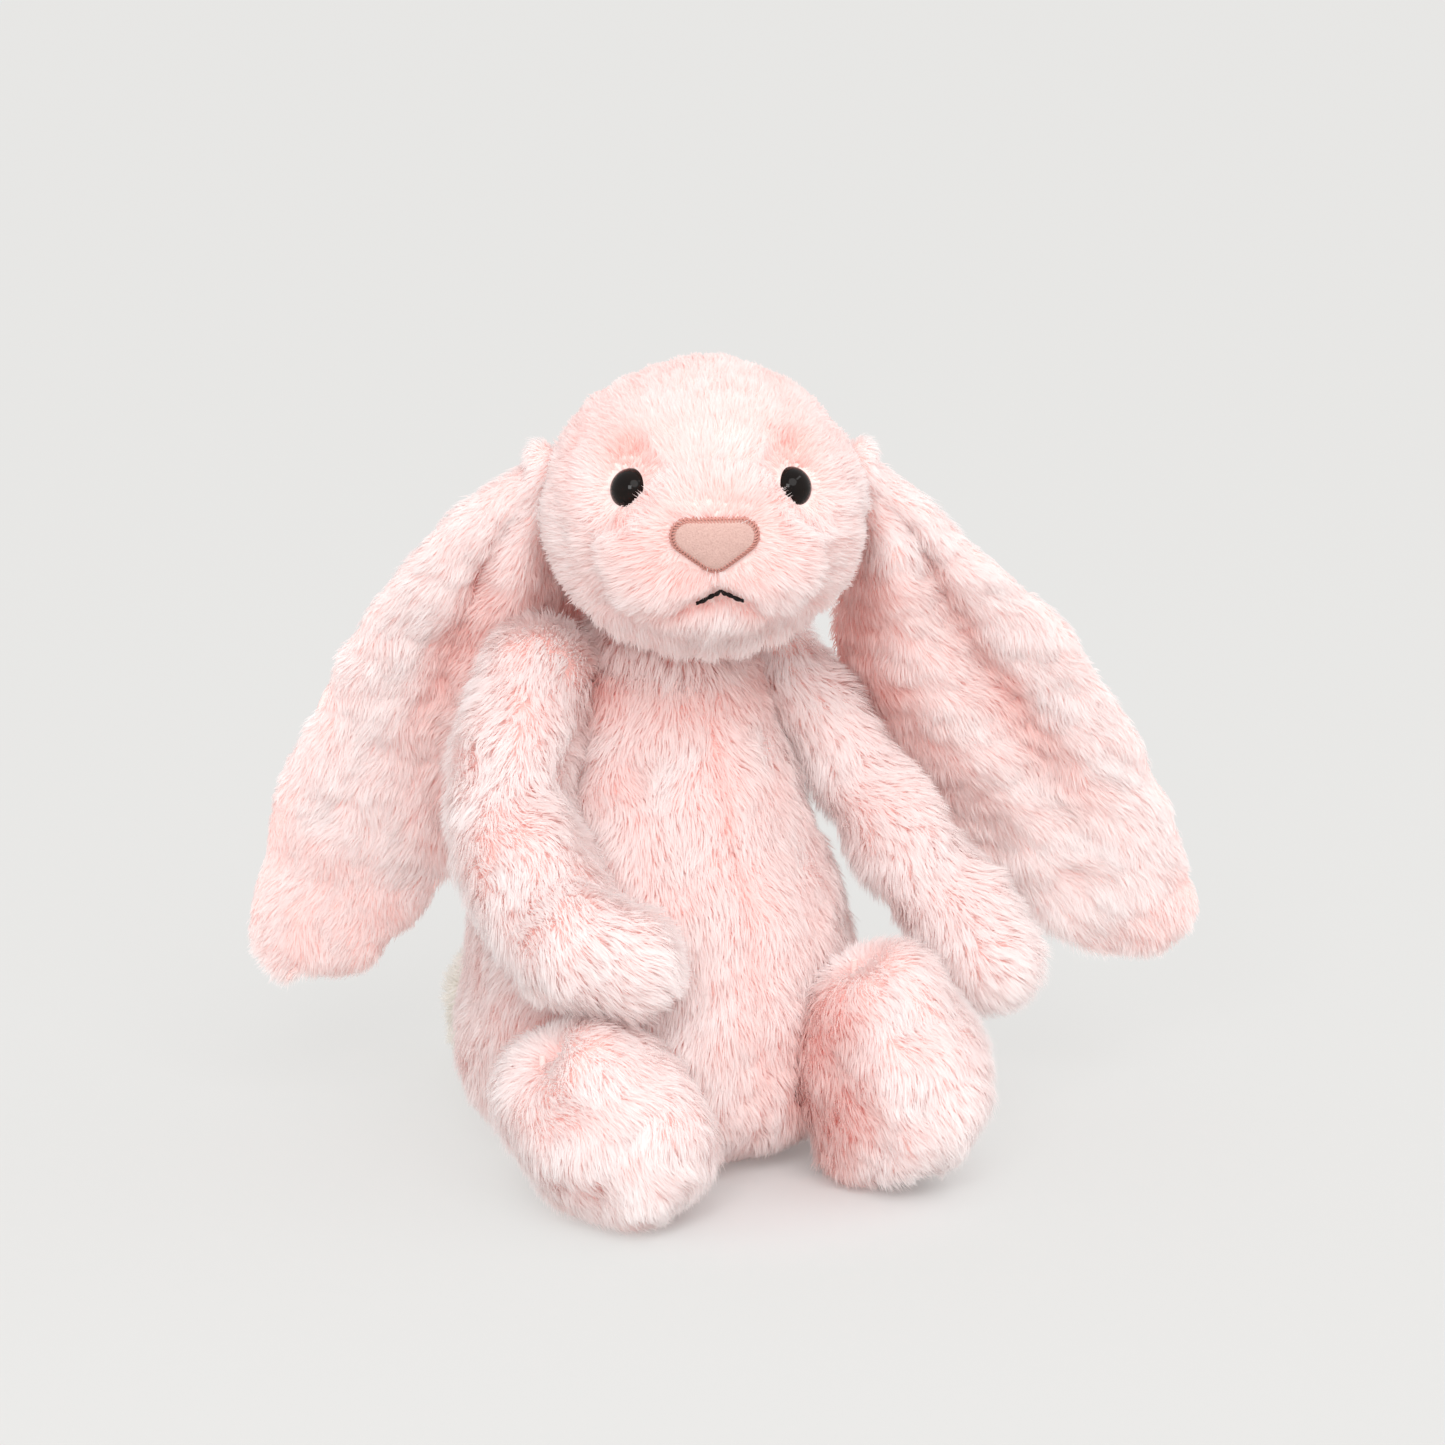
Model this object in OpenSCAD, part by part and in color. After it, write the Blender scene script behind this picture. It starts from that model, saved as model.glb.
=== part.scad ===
// Seated plush bunny with long drooping ears, stuffed limbs and bean-weighted feet.
// The bunny faces -Y, its own left is +X and +Z is up. Its right is -X.
// The origin is on the floor, in the middle of the flat seat panel.

/* [Covers] */
// Thickness of the pile fabric of the covers, up to where the pile gets loose
cover_wall = 3; // [2.5:0.5:4]
// Gap between a cover and the filling inside it
filling_gap = 0.3; // [0.2:0.1:0.5]
// Gap between a ball end and the socket it turns in
socket_gap = 0.6; // [0.4:0.1:1]

/* [Torso] */
// Height of the neck seam above the floor
torso_height = 122; // [120:1:124]
// Radius of the flat seat panel
seat_radius = 32; // [30:1:34]
// Greatest radius of the torso, low on the belly
belly_radius = 50.5; // [49:0.5:51]
// Radius of the torso at the neck seam
neck_radius = 23; // [22:0.5:23.5]
// Radius of the fluffy tail
tail_radius = 17.5; // [16:0.5:18.5]

/* [Head] */
// Half of the head's width across the cheeks
head_half_width = 38.5; // [37.5:0.5:39]
// Half of the head's height
head_half_height = 35.5; // [35:0.5:36.5]
// Height of the head's centre above the floor
head_height = 167.5; // [167:0.5:168.5]
// How far the head's centre sits in front of the torso's axis
head_forward = 23; // [22:0.5:24]
// Turn of the head towards the bunny's right, in degrees
head_turn = 26.5; // [22:0.5:28]
// Radius of the firm ball of stuffing in the neck
neck_ball_radius = 18; // [17:0.5:18.5]

/* [Face] */
// Radius of an eye's dome
eye_radius = 5.2; // [4.5:0.1:5.5]
// Width of the nose patch
nose_width = 20.5; // [19:0.5:22]
// Height of the nose patch
nose_height = 12; // [11:0.5:13.5]

/* [Limbs] */
// Radius of the right arm's ball end, at the shoulder
right_shoulder_radius = 12.5; // [12:0.5:13]
// Radius of the left arm's ball end, at the shoulder
left_shoulder_radius = 10.5; // [10:0.5:11]
// Radius of each leg's ball end, at the hip
hip_radius = 16.5; // [16:0.5:17]
// Radius of each ear's ball end, at the root
ear_root_radius = 7; // [6.5:0.5:7.5]
// Greatest half width of an ear
ear_half_width = 25; // [23:0.5:25.5]
// Thickness of one of an ear's two plush layers
ear_layer = 4; // [3.5:0.5:4.5]

/* [Hidden] */
$fn = 48;
SIDES = 20;
STEPS = 3;
CAP_RINGS = 3;
HUGE = 400;

PINK = [0.97, 0.85, 0.83];
DEEP_PINK = [0.93, 0.74, 0.71];
CREAM = [0.94, 0.91, 0.88];
WADDING = [0.96, 0.96, 0.95];
BEANS = [0.72, 0.74, 0.78];

// Which side of the body a limb is on
RIGHT = -1;
LEFT = 1;

// Half the torso's outline: radius and height, from the seat to the neck seam
TORSO_OUTLINE = [
    [seat_radius, 0], [belly_radius - 3, 13], [belly_radius, 29], [0.91 * belly_radius, 60],
    [0.68 * belly_radius, 90], [neck_radius, torso_height]
];

// The neck ball's centre, where the head turns and nods
NECK = [0, -3.5, torso_height + 3];
HEAD = [0, -head_forward, head_height];

// Soft paths: centre, half width and half depth of each section
HEAD_PATH = [
    [0, 19, 1, 0.85 * head_half_width, 0.85 * head_half_height],
    [0, 0, 0, head_half_width, head_half_height],
    [0, -19, -1.5, 0.9 * head_half_width, 0.9 * head_half_height],
    [0, -32, -5, 0.66 * head_half_width, 0.62 * head_half_height]
];
HEAD_BACK_CAP = 15;
HEAD_FRONT_CAP = 12;

RIGHT_SHOULDER = [-34, 0, 124];
RIGHT_ARM_PATH = [
    concat(RIGHT_SHOULDER, [right_shoulder_radius, right_shoulder_radius]),
    [-46, -8, 104, 12.5, 12.5], [-51, -21, 85, 13.5, 13], [-48, -41, 69, 14, 13.5],
    [-40, -52, 64.5, 12, 12]
];
LEFT_SHOULDER = [32, 0, 121.5];
LEFT_ARM_PATH = [
    concat(LEFT_SHOULDER, [left_shoulder_radius, left_shoulder_radius]),
    [45, -17, 98, 9.5, 9.5], [55.5, -33, 74, 10.5, 10], [66.5, -51, 49.5, 12, 12]
];

// Each leg's hip, the direction its foot points in, and its path from the hip on
RIGHT_HIP = [-46, -34, 25];
RIGHT_LEG_PATH = [
    concat(RIGHT_HIP, [hip_radius, hip_radius]),
    [-46, -46, 23, 18.5, 25.5], [-42, -57, 20, 20.5, 22.5], [-39, -65.5, 16.5, 17, 18.5]
];
LEFT_HIP = [28, -43.5, 28];
LEFT_LEG_PATH = [
    concat(LEFT_HIP, [hip_radius, hip_radius]),
    [31, -54.5, 28, 18.5, 30], [34, -67.5, 23, 20, 25], [36, -76.5, 17, 17, 18.5]
];
TOE_CAP = 11;
SOLE_THICKNESS = 3;
BEAN_RADIUS = 11;
// How far from the middle of each instep its tack sits, towards the bunny's left
RIGHT_TACK_SHIFT = -12;
LEFT_TACK_SHIFT = -6;

// Ears, in the head's own frame
EAR_ROOT = [41.3, 6, 8];
RIGHT_EAR_PATH = ear_path(RIGHT, [54, 12, -12], [64.5, 23, -37], [75.5, 32, -69], [85, 36, -98], [92, 37, -115]);
LEFT_EAR_PATH = ear_path(LEFT, [56.5, 12, -12], [71, 25, -40], [87.5, 36, -73], [101, 41, -102], [107, 42, -117]);
EAR_TIP_CAP = 13;
function ear_path(side, a, b, c, d, e) = [
    concat(across(EAR_ROOT, side), [ear_root_radius, ear_root_radius]),
    concat(across(a, side), [9.5, ear_layer + 1.5]),
    concat(across(b, side), [0.8 * ear_half_width, ear_layer + 0.5]),
    concat(across(c, side), [ear_half_width, ear_layer]),
    concat(across(d, side), [0.92 * ear_half_width, ear_layer]),
    concat(across(e, side), [0.72 * ear_half_width, ear_layer])
];

// Face, in the head's own frame
EYE = [19, -31.4, 9.2];
EYE_AIM = [0.55, -0.78, 0.3];
EYE_POST_RADIUS = 1.6;
EYE_POST_LENGTH = 11;
WASHER_RADIUS = 6;
MOUTH_APEX = -13.8;
MOUTH_CORNER = [5.6, -16.8];
THREAD = 1.4;
SEAM_TILT = 5;
SEAM_HEIGHT = -10.5;
NOSE_DROP = 1.5;

WHOLE_RING = [for (i = [0 : SIDES - 1]) 360 * i / SIDES];
FIRST_HALF = [for (i = [0 : SIDES / 2]) 360 * i / SIDES];
SECOND_HALF = [for (i = [0 : SIDES / 2]) 180 + 360 * i / SIDES];

function across(p, side) = [side * p[0], p[1], p[2]];
function unit(v) = v / norm(v);
function place(p) = [p[0], p[1], p[2]];

// A smooth curve through the given values, STEPS spans between each two of them
function between(p, i, t) =
    let (
        a = p[max(i - 1, 0)],
        b = p[i],
        c = p[i + 1],
        d = p[min(i + 2, len(p) - 1)]
    )
    0.5 * (2 * b + (c - a) * t + (2 * a - 5 * b + 4 * c - d) * t ^ 2 + (3 * b - a - 3 * c + d) * t ^ 3);
function smooth(p) = concat(
    [for (i = [0 : len(p) - 2], s = [0 : STEPS - 1]) between(p, i, s / STEPS)],
    [p[len(p) - 1]]
);

// One ring of points about c, square to the direction it runs along
function ring(c, along, side, a, b, angles) =
    let (
        v = unit(cross(along, side)),
        u = cross(v, along)
    )
    [for (t = angles) c + a * cos(t) * u + b * sin(t) * v];

// All rings of a soft solid, with round caps of the given lengths on both ends
function rings(path, side, caps, inset, angles) =
    let (
        p = smooth(path),
        last = len(p) - 1,
        start = unit(place(p[1] - p[0])),
        end = unit(place(p[last] - p[last - 1])),
        first_cap = [for (k = [CAP_RINGS - 1 : -1 : 1])
            let (t = 90 * k / CAP_RINGS)
            ring(place(p[0]) - start * (caps[0] - inset) * sin(t), start, side,
                 (p[0][3] - inset) * cos(t), (p[0][4] - inset) * cos(t), angles)],
        body = [for (i = [0 : last])
            let (along = unit(place(p[min(i + 1, last)] - p[max(i - 1, 0)])))
            ring(place(p[i]), along, side, p[i][3] - inset, p[i][4] - inset, angles)],
        last_cap = [for (k = [1 : CAP_RINGS - 1])
            let (t = 90 * k / CAP_RINGS)
            ring(place(p[last]) + end * (caps[1] - inset) * sin(t), end, side,
                 (p[last][3] - inset) * cos(t), (p[last][4] - inset) * cos(t), angles)]
    )
    concat(
        [[place(p[0]) - start * (caps[0] - inset)]],
        first_cap, body, last_cap,
        [[place(p[last]) + end * (caps[1] - inset)]]
    );

// The two faces between points a and b of a ring and those n further on, split along either diagonal
function patch(a, b, n, turned) = turned
    ? [[a, a + n, b + n], [a, b + n, b]]
    : [[a, a + n, b], [b, a + n, b + n]];

// A closed soft solid along a path; inset shrinks it evenly
module soft(path, side = [1, 0, 0], caps = [0, 0], inset = 0, angles = WHOLE_RING) {
    all = rings(path, side, caps, inset, angles);
    n = len(angles);
    count = len(all) - 2;
    points = [for (r = all, q = r) q];
    end_pole = len(points) - 1;
    start_fan = [for (j = [0 : n - 1]) [0, 1 + j, 1 + (j + 1) % n]];
    end_fan = [for (j = [0 : n - 1])
        [end_pole, 1 + (count - 1) * n + (j + 1) % n, 1 + (count - 1) * n + j]];
    // Where the second half meets the first, both are split along the same diagonals
    second = angles[0] > 0;
    skin = [for (k = [0 : count - 2], j = [0 : n - 1])
        for (face = patch(1 + k * n + j, 1 + k * n + (j + 1) % n, n, second && j == n - 1)) face];
    polyhedron(points, concat(start_fan, skin, end_fan));
}

module above_floor(height = 0) {
    intersection() {
        children();
        translate([-HUGE / 2, -HUGE / 2, height]) cube(HUGE);
    }
}

// ---- Torso ----

module torso_solid(inset, angle = 360) {
    outline = [for (q = smooth(TORSO_OUTLINE)) [q[0] - inset, min(max(q[1], inset), torso_height)]];
    rotate_extrude(angle = angle)
        polygon(concat([[0, inset]], outline, [[0, torso_height]]));
}

// Hollows that the limbs' ball ends and the neck ball turn in
SHOULDER_ROOM = 2;
HIP_ROOM = 4;
module sockets(extra = 0) {
    reach = socket_gap + extra;
    translate(NECK) sphere(neck_ball_radius + reach);
    translate(RIGHT_SHOULDER) sphere(right_shoulder_radius + SHOULDER_ROOM + reach);
    translate(LEFT_SHOULDER) sphere(left_shoulder_radius + SHOULDER_ROOM + reach);
    translate(RIGHT_HIP) sphere(hip_radius + HIP_ROOM + reach);
    translate(LEFT_HIP) sphere(hip_radius + HIP_ROOM + reach);
}

module torso_panel(start) {
    color(PINK) difference() {
        rotate([0, 0, start]) torso_solid(0, 90);
        translate([0, 0, -1]) cylinder(r = seat_radius, h = cover_wall + 1);
        torso_solid(cover_wall);
        sockets();
        translate(TAIL) sphere(tail_radius);
    }
}
module torso_front_right_panel() { torso_panel(180); }
module torso_front_left_panel() { torso_panel(270); }
module torso_back_right_panel() { torso_panel(90); }
module torso_back_left_panel() { torso_panel(0); }

module seat_panel() {
    color(DEEP_PINK) cylinder(r = seat_radius, h = cover_wall);
}

POUCH_RADIUS = 30;
POUCH_HEIGHT = 26;
module pouch_shape(grow = 0) {
    translate([0, 0, cover_wall + 1 - grow])
        cylinder(r = POUCH_RADIUS + grow, h = POUCH_HEIGHT + 2 * grow);
}
module torso_filling() {
    color(WADDING) difference() {
        torso_solid(cover_wall + filling_gap);
        pouch_shape(filling_gap);
        sockets(filling_gap);
        translate(TAIL) sphere(tail_radius + filling_gap);
    }
}
module bean_pouch() {
    color(BEANS) difference() {
        pouch_shape();
        sockets(2 * filling_gap);
    }
}

TAIL_DEPTH = 3;
TAIL_OFFSET = -6.8;
TAIL = [TAIL_OFFSET, belly_radius + tail_radius - TAIL_DEPTH, tail_radius];
module tail_cover() {
    color(CREAM) difference() {
        translate(TAIL) sphere(tail_radius);
        translate(TAIL) sphere(tail_radius - cover_wall);
    }
}
module tail_filling() {
    color(WADDING) translate(TAIL) sphere(tail_radius - cover_wall - filling_gap);
}

// ---- Neck ----

NECK_THREAD_RADIUS = 0.8;
NECK_THREAD_DROP = 1.6;
module neck_stuffing() {
    color(WADDING) difference() {
        translate(NECK) sphere(neck_ball_radius);
        neck_thread(0.02);
    }
}
module neck_thread(grow = 0) {
    ring_radius = sqrt(neck_ball_radius ^ 2 - NECK_THREAD_DROP ^ 2);
    translate(NECK - [0, 0, NECK_THREAD_DROP])
        rotate_extrude() translate([ring_radius, 0]) circle(NECK_THREAD_RADIUS + grow, $fn = 24);
}
module neck_seam_thread() {
    color(DEEP_PINK) neck_thread();
}

// ---- Head ----

module on_head() {
    translate(HEAD) rotate([0, 0, -head_turn]) children();
}
module head_solid(inset = 0) {
    soft(HEAD_PATH, caps = [HEAD_BACK_CAP, HEAD_FRONT_CAP], inset = inset);
}
// The hollows in the head, in the head's own frame
module head_hollows(extra = 0) {
    reach = socket_gap + extra;
    rotate([0, 0, head_turn]) translate(NECK - HEAD) sphere(neck_ball_radius + reach);
    for (side = [RIGHT, LEFT]) {
        translate(across(EAR_ROOT, side)) sphere(ear_root_radius + reach);
        at_eye(side) {
            sphere(eye_radius + 0.1 + extra);
            translate([0, 0, -EYE_POST_LENGTH - 1]) cylinder(r = EYE_POST_RADIUS + 0.1 + extra, h = EYE_POST_LENGTH + 1);
        }
    }
}
// Space below the chin seam, which rises a little towards the back
module below_seam() {
    translate([0, 0, SEAM_HEIGHT]) rotate([SEAM_TILT, 0, 0])
        translate([-HUGE / 2, -HUGE / 2, -HUGE]) cube(HUGE);
}
module head_shell() {
    difference() {
        head_solid();
        head_solid(cover_wall);
        head_hollows();
    }
}
module head_side_panel(side) {
    color(PINK) on_head() intersection() {
        difference() {
            head_shell();
            below_seam();
        }
        translate([side > 0 ? 0 : -HUGE, -HUGE / 2, -HUGE / 2]) cube(HUGE);
    }
}
module head_right_panel() { head_side_panel(RIGHT); }
module head_left_panel() { head_side_panel(LEFT); }
module head_chin_panel() {
    color(PINK) on_head() intersection() {
        head_shell();
        below_seam();
    }
}
module head_filling() {
    color(WADDING) on_head() difference() {
        head_solid(cover_wall + filling_gap);
        head_hollows(filling_gap);
        for (side = [RIGHT, LEFT])
            at_eye(side) translate([0, 0, -EYE_POST_LENGTH]) cylinder(r = WASHER_RADIUS + 0.5, h = 4);
    }
}

// ---- Face ----

// A frame at an eye, with +Z pointing out of the head
module at_eye(side) {
    aim = [side * EYE_AIM[0], EYE_AIM[1], EYE_AIM[2]];
    translate(across(EYE, side))
        rotate([0, acos(aim[2] / norm(aim)), atan2(aim[1], aim[0])]) children();
}
module eye(side) {
    color("black") on_head() at_eye(side) union() {
        difference() {
            sphere(eye_radius);
            translate([0, 0, -2 * eye_radius - 1.5]) cylinder(r = 2 * eye_radius, h = 2 * eye_radius);
        }
        translate([0, 0, -EYE_POST_LENGTH + 0.5]) cylinder(r = EYE_POST_RADIUS, h = EYE_POST_LENGTH);
    }
}
module eye_right() { eye(RIGHT); }
module eye_left() { eye(LEFT); }
module eye_washer(side) {
    color("white") on_head() at_eye(side) difference() {
        translate([0, 0, -EYE_POST_LENGTH + 1]) cylinder(r = WASHER_RADIUS, h = 1.5);
        translate([0, 0, -EYE_POST_LENGTH]) cylinder(r = EYE_POST_RADIUS, h = 4);
    }
}
module eye_washer_right() { eye_washer(RIGHT); }
module eye_washer_left() { eye_washer(LEFT); }

// What a flat shape, drawn in X and Z, cuts from a layer on the front of the face
module on_face(thickness) {
    intersection() {
        translate([0, -30, 0]) rotate([90, 0, 0]) linear_extrude(height = 40) children();
        difference() {
            head_solid(-thickness);
            head_solid(0);
        }
    }
}
// The nose's outline: a triangle with its point down and round corners
NOSE_CORNER = 4;
module nose_outline(grow = 0) {
    half = nose_width / 2 - NOSE_CORNER;
    top = nose_height / 2 - NOSE_CORNER;
    translate([0, -NOSE_DROP]) hull() {
        for (side = [RIGHT, LEFT])
            translate([side * half, top]) circle(NOSE_CORNER + grow, $fn = 24);
        translate([0, -top - 0.5]) circle(NOSE_CORNER + grow, $fn = 24);
    }
}
module nose_patch() {
    color(DEEP_PINK) on_head() on_face(1.5) nose_outline();
}
module nose_stitching() {
    color("salmon") on_head() on_face(1.2) difference() {
        nose_outline(THREAD);
        nose_outline(0.05);
    }
}
module mouth_stitch(side) {
    color("black") on_head() on_face(1) hull() {
        translate([side * 0.8, MOUTH_APEX]) circle(THREAD / 2, $fn = 16);
        translate([side * MOUTH_CORNER[0], MOUTH_CORNER[1]]) circle(THREAD / 2, $fn = 16);
    }
}
module mouth_stitch_right() { mouth_stitch(RIGHT); }
module mouth_stitch_left() { mouth_stitch(LEFT); }

// ---- Ears ----

module ear(path, angles) {
    color(PINK) on_head() soft(path, caps = [ear_root_radius, EAR_TIP_CAP], angles = angles);
}
module ear_right_front() { ear(RIGHT_EAR_PATH, FIRST_HALF); }
module ear_right_back() { ear(RIGHT_EAR_PATH, SECOND_HALF); }
module ear_left_front() { ear(LEFT_EAR_PATH, FIRST_HALF); }
module ear_left_back() { ear(LEFT_EAR_PATH, SECOND_HALF); }

// ---- Arms ----

module stuffed_cover(path, caps) {
    color(PINK) difference() {
        soft(path, caps = caps);
        soft(path, caps = caps, inset = cover_wall);
    }
}
module stuffing(path, caps) {
    color(WADDING) soft(path, caps = caps, inset = cover_wall + filling_gap);
}
HAND_CAP = 11;
RIGHT_ARM_CAPS = [right_shoulder_radius, HAND_CAP];
LEFT_ARM_CAPS = [left_shoulder_radius, HAND_CAP];
module arm_right_cover() { stuffed_cover(RIGHT_ARM_PATH, RIGHT_ARM_CAPS); }
module arm_right_filling() { stuffing(RIGHT_ARM_PATH, RIGHT_ARM_CAPS); }
module arm_left_cover() { stuffed_cover(LEFT_ARM_PATH, LEFT_ARM_CAPS); }
module arm_left_filling() { stuffing(LEFT_ARM_PATH, LEFT_ARM_CAPS); }

// ---- Legs ----

LEG_CAPS = [hip_radius, TOE_CAP];
module leg_cover(path, tack_shift) {
    color(PINK) difference() {
        above_floor(SOLE_THICKNESS) soft(path, caps = LEG_CAPS);
        above_floor(SOLE_THICKNESS) soft(path, caps = LEG_CAPS, inset = cover_wall);
        ankle_thread(path, tack_shift);
    }
}
module leg_right_cover() { leg_cover(RIGHT_LEG_PATH, RIGHT_TACK_SHIFT); }
module leg_left_cover() { leg_cover(LEFT_LEG_PATH, LEFT_TACK_SHIFT); }

module sole(path) {
    color(DEEP_PINK) difference() {
        above_floor() soft(path, caps = LEG_CAPS);
        translate([-HUGE / 2, -HUGE / 2, SOLE_THICKNESS]) cube(HUGE);
    }
}
module sole_right() { sole(RIGHT_LEG_PATH); }
module sole_left() { sole(LEFT_LEG_PATH); }

module beans(path, grow = 0) {
    translate(place(path[2]) - [0, 0, 3]) sphere(BEAN_RADIUS + grow);
}
module leg_filling(path, tack_shift) {
    color(WADDING) difference() {
        above_floor(SOLE_THICKNESS + filling_gap)
            soft(path, caps = LEG_CAPS, inset = cover_wall + filling_gap);
        beans(path, filling_gap);
        ankle_thread(path, tack_shift);
    }
}
module leg_right_filling() { leg_filling(RIGHT_LEG_PATH, RIGHT_TACK_SHIFT); }
module leg_left_filling() { leg_filling(LEFT_LEG_PATH, LEFT_TACK_SHIFT); }
module foot_beans_right() { color(BEANS) beans(RIGHT_LEG_PATH); }
module foot_beans_left() { color(BEANS) beans(LEFT_LEG_PATH); }

// The tack that puckers the instep: a thread through the top of the cover
TACK_RADIUS = 0.8;
TACK_LENGTH = 7;
module ankle_thread(path, shift) {
    section = path[1];
    top = section[2] + section[4] * sqrt(1 - (shift / section[3]) ^ 2);
    translate([section[0] + shift, section[1], top - TACK_LENGTH])
        cylinder(r = TACK_RADIUS, h = TACK_LENGTH - 1);
}
module ankle_tack_right() { color("salmon") ankle_thread(RIGHT_LEG_PATH, RIGHT_TACK_SHIFT); }
module ankle_tack_left() { color("salmon") ankle_thread(LEFT_LEG_PATH, LEFT_TACK_SHIFT); }

torso_front_right_panel();
torso_front_left_panel();
torso_back_right_panel();
torso_back_left_panel();
seat_panel();
torso_filling();
bean_pouch();
tail_cover();
tail_filling();
neck_stuffing();
neck_seam_thread();
head_right_panel();
head_left_panel();
head_chin_panel();
head_filling();
nose_patch();
nose_stitching();
mouth_stitch_right();
mouth_stitch_left();
eye_right();
eye_left();
eye_washer_right();
eye_washer_left();
ear_right_front();
ear_right_back();
ear_left_front();
ear_left_back();
arm_right_cover();
arm_right_filling();
arm_left_cover();
arm_left_filling();
leg_right_cover();
leg_right_filling();
leg_left_cover();
leg_left_filling();
sole_right();
sole_left();
foot_beans_right();
foot_beans_left();
ankle_tack_right();
ankle_tack_left();
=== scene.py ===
"""The looks of a seated plush bunny: pile fabric covers with mesh fur, the face, floor, light and camera.

Everything is built in millimetres in the part's own frame and scaled to metres when a mesh is made.
"""

import math

import bpy
import numpy as np
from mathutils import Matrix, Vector
from mathutils.kdtree import KDTree


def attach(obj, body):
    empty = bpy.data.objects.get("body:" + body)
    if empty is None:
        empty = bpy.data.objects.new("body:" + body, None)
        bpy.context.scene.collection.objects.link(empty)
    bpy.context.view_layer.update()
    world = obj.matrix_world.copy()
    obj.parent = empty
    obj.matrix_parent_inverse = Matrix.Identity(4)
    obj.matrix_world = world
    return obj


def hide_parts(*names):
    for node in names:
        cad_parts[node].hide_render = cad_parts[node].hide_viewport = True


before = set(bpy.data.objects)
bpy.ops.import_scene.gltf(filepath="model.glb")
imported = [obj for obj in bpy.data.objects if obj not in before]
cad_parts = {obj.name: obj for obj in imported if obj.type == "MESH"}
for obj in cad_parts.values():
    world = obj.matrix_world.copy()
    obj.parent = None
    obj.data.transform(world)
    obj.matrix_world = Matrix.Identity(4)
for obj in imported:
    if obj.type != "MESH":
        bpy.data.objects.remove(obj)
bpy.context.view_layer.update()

MM = 0.001
SEED = 7
STRANDS = 1.0
UP = np.array([0.0, 0.0, 1.0])
# Signs of X on the bunny's own right and left
RIGHT, LEFT = -1, 1

# ---- Camera, floor and light ----

VIEW_AZIMUTH, VIEW_ELEVATION = -30.0, 13.0
VIEW_DISTANCE = 1.1
AIM = Vector((0.0258, 0.0124, 0.1023))
FRAME_WIDTH = 0.37435
SENSOR_WIDTH = 36
WORLD_STRENGTH = 0.92
LIGHT_TARGET = Vector((0, 0, 0.1))
# Name, kind, azimuth, elevation, distance, size (an angle or a rectangle), power and colour
LIGHTS = (
    ("key", "SUN", -12, 42, 3, 40, 1.2, (1.0, 0.995, 0.99)),
    ("window", "AREA", -40, 26, 0.9, (0.24, 0.26), 2.1, (1, 1, 1)),
    ("strip", "AREA", 45, 52, 0.9, (0.5, 0.1), 0.6, (1, 1, 1)),
)
FLOOR_HALF = 20
# The floor's look changes between these distances from a point by the feet
FEET = (0.002, -0.05, 0)
FLOOR_NEAR, FLOOR_FAR = 0.03, 0.07
FLOOR_LOOKS = (("Base Color", 0.55, 0.15), ("Emission Strength", 0.14, 0.625))


def look_from(azimuth, elevation):
    """The direction towards a viewer; azimuth 0 is in front of the part, 90 on its left."""
    a, e = math.radians(azimuth), math.radians(elevation)
    return Vector((math.sin(a) * math.cos(e), -math.cos(a) * math.cos(e), math.sin(e)))


def add_object(name, data):
    thing = bpy.data.objects.new(name, data)
    bpy.context.scene.collection.objects.link(thing)
    return thing


def aim_at(target, name, data, azimuth, elevation, distance):
    """Adds a camera or light that looks at a target from a distance."""
    thing = add_object(name, data)
    back = look_from(azimuth, elevation)
    thing.location = target + back * distance
    thing.rotation_mode = "QUATERNION"
    thing.rotation_quaternion = (-back).to_track_quat("-Z", "Y")
    return thing


def add_camera():
    data = bpy.data.cameras.new("camera")
    data.sensor_width = SENSOR_WIDTH
    data.lens = SENSOR_WIDTH * VIEW_DISTANCE / FRAME_WIDTH
    data.clip_start, data.clip_end = 0.05, 60
    bpy.context.scene.camera = aim_at(AIM, "camera", data, VIEW_AZIMUTH, VIEW_ELEVATION, VIEW_DISTANCE)


def add_light(name, kind, azimuth, elevation, distance, size, power, colour):
    data = bpy.data.lights.new(name, kind)
    data.energy = power
    data.color = colour
    if kind == "SUN":
        data.angle = math.radians(size)
    else:
        data.shape = "RECTANGLE"
        data.size, data.size_y = size
    aim_at(LIGHT_TARGET, name, data, azimuth, elevation, distance)


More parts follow.
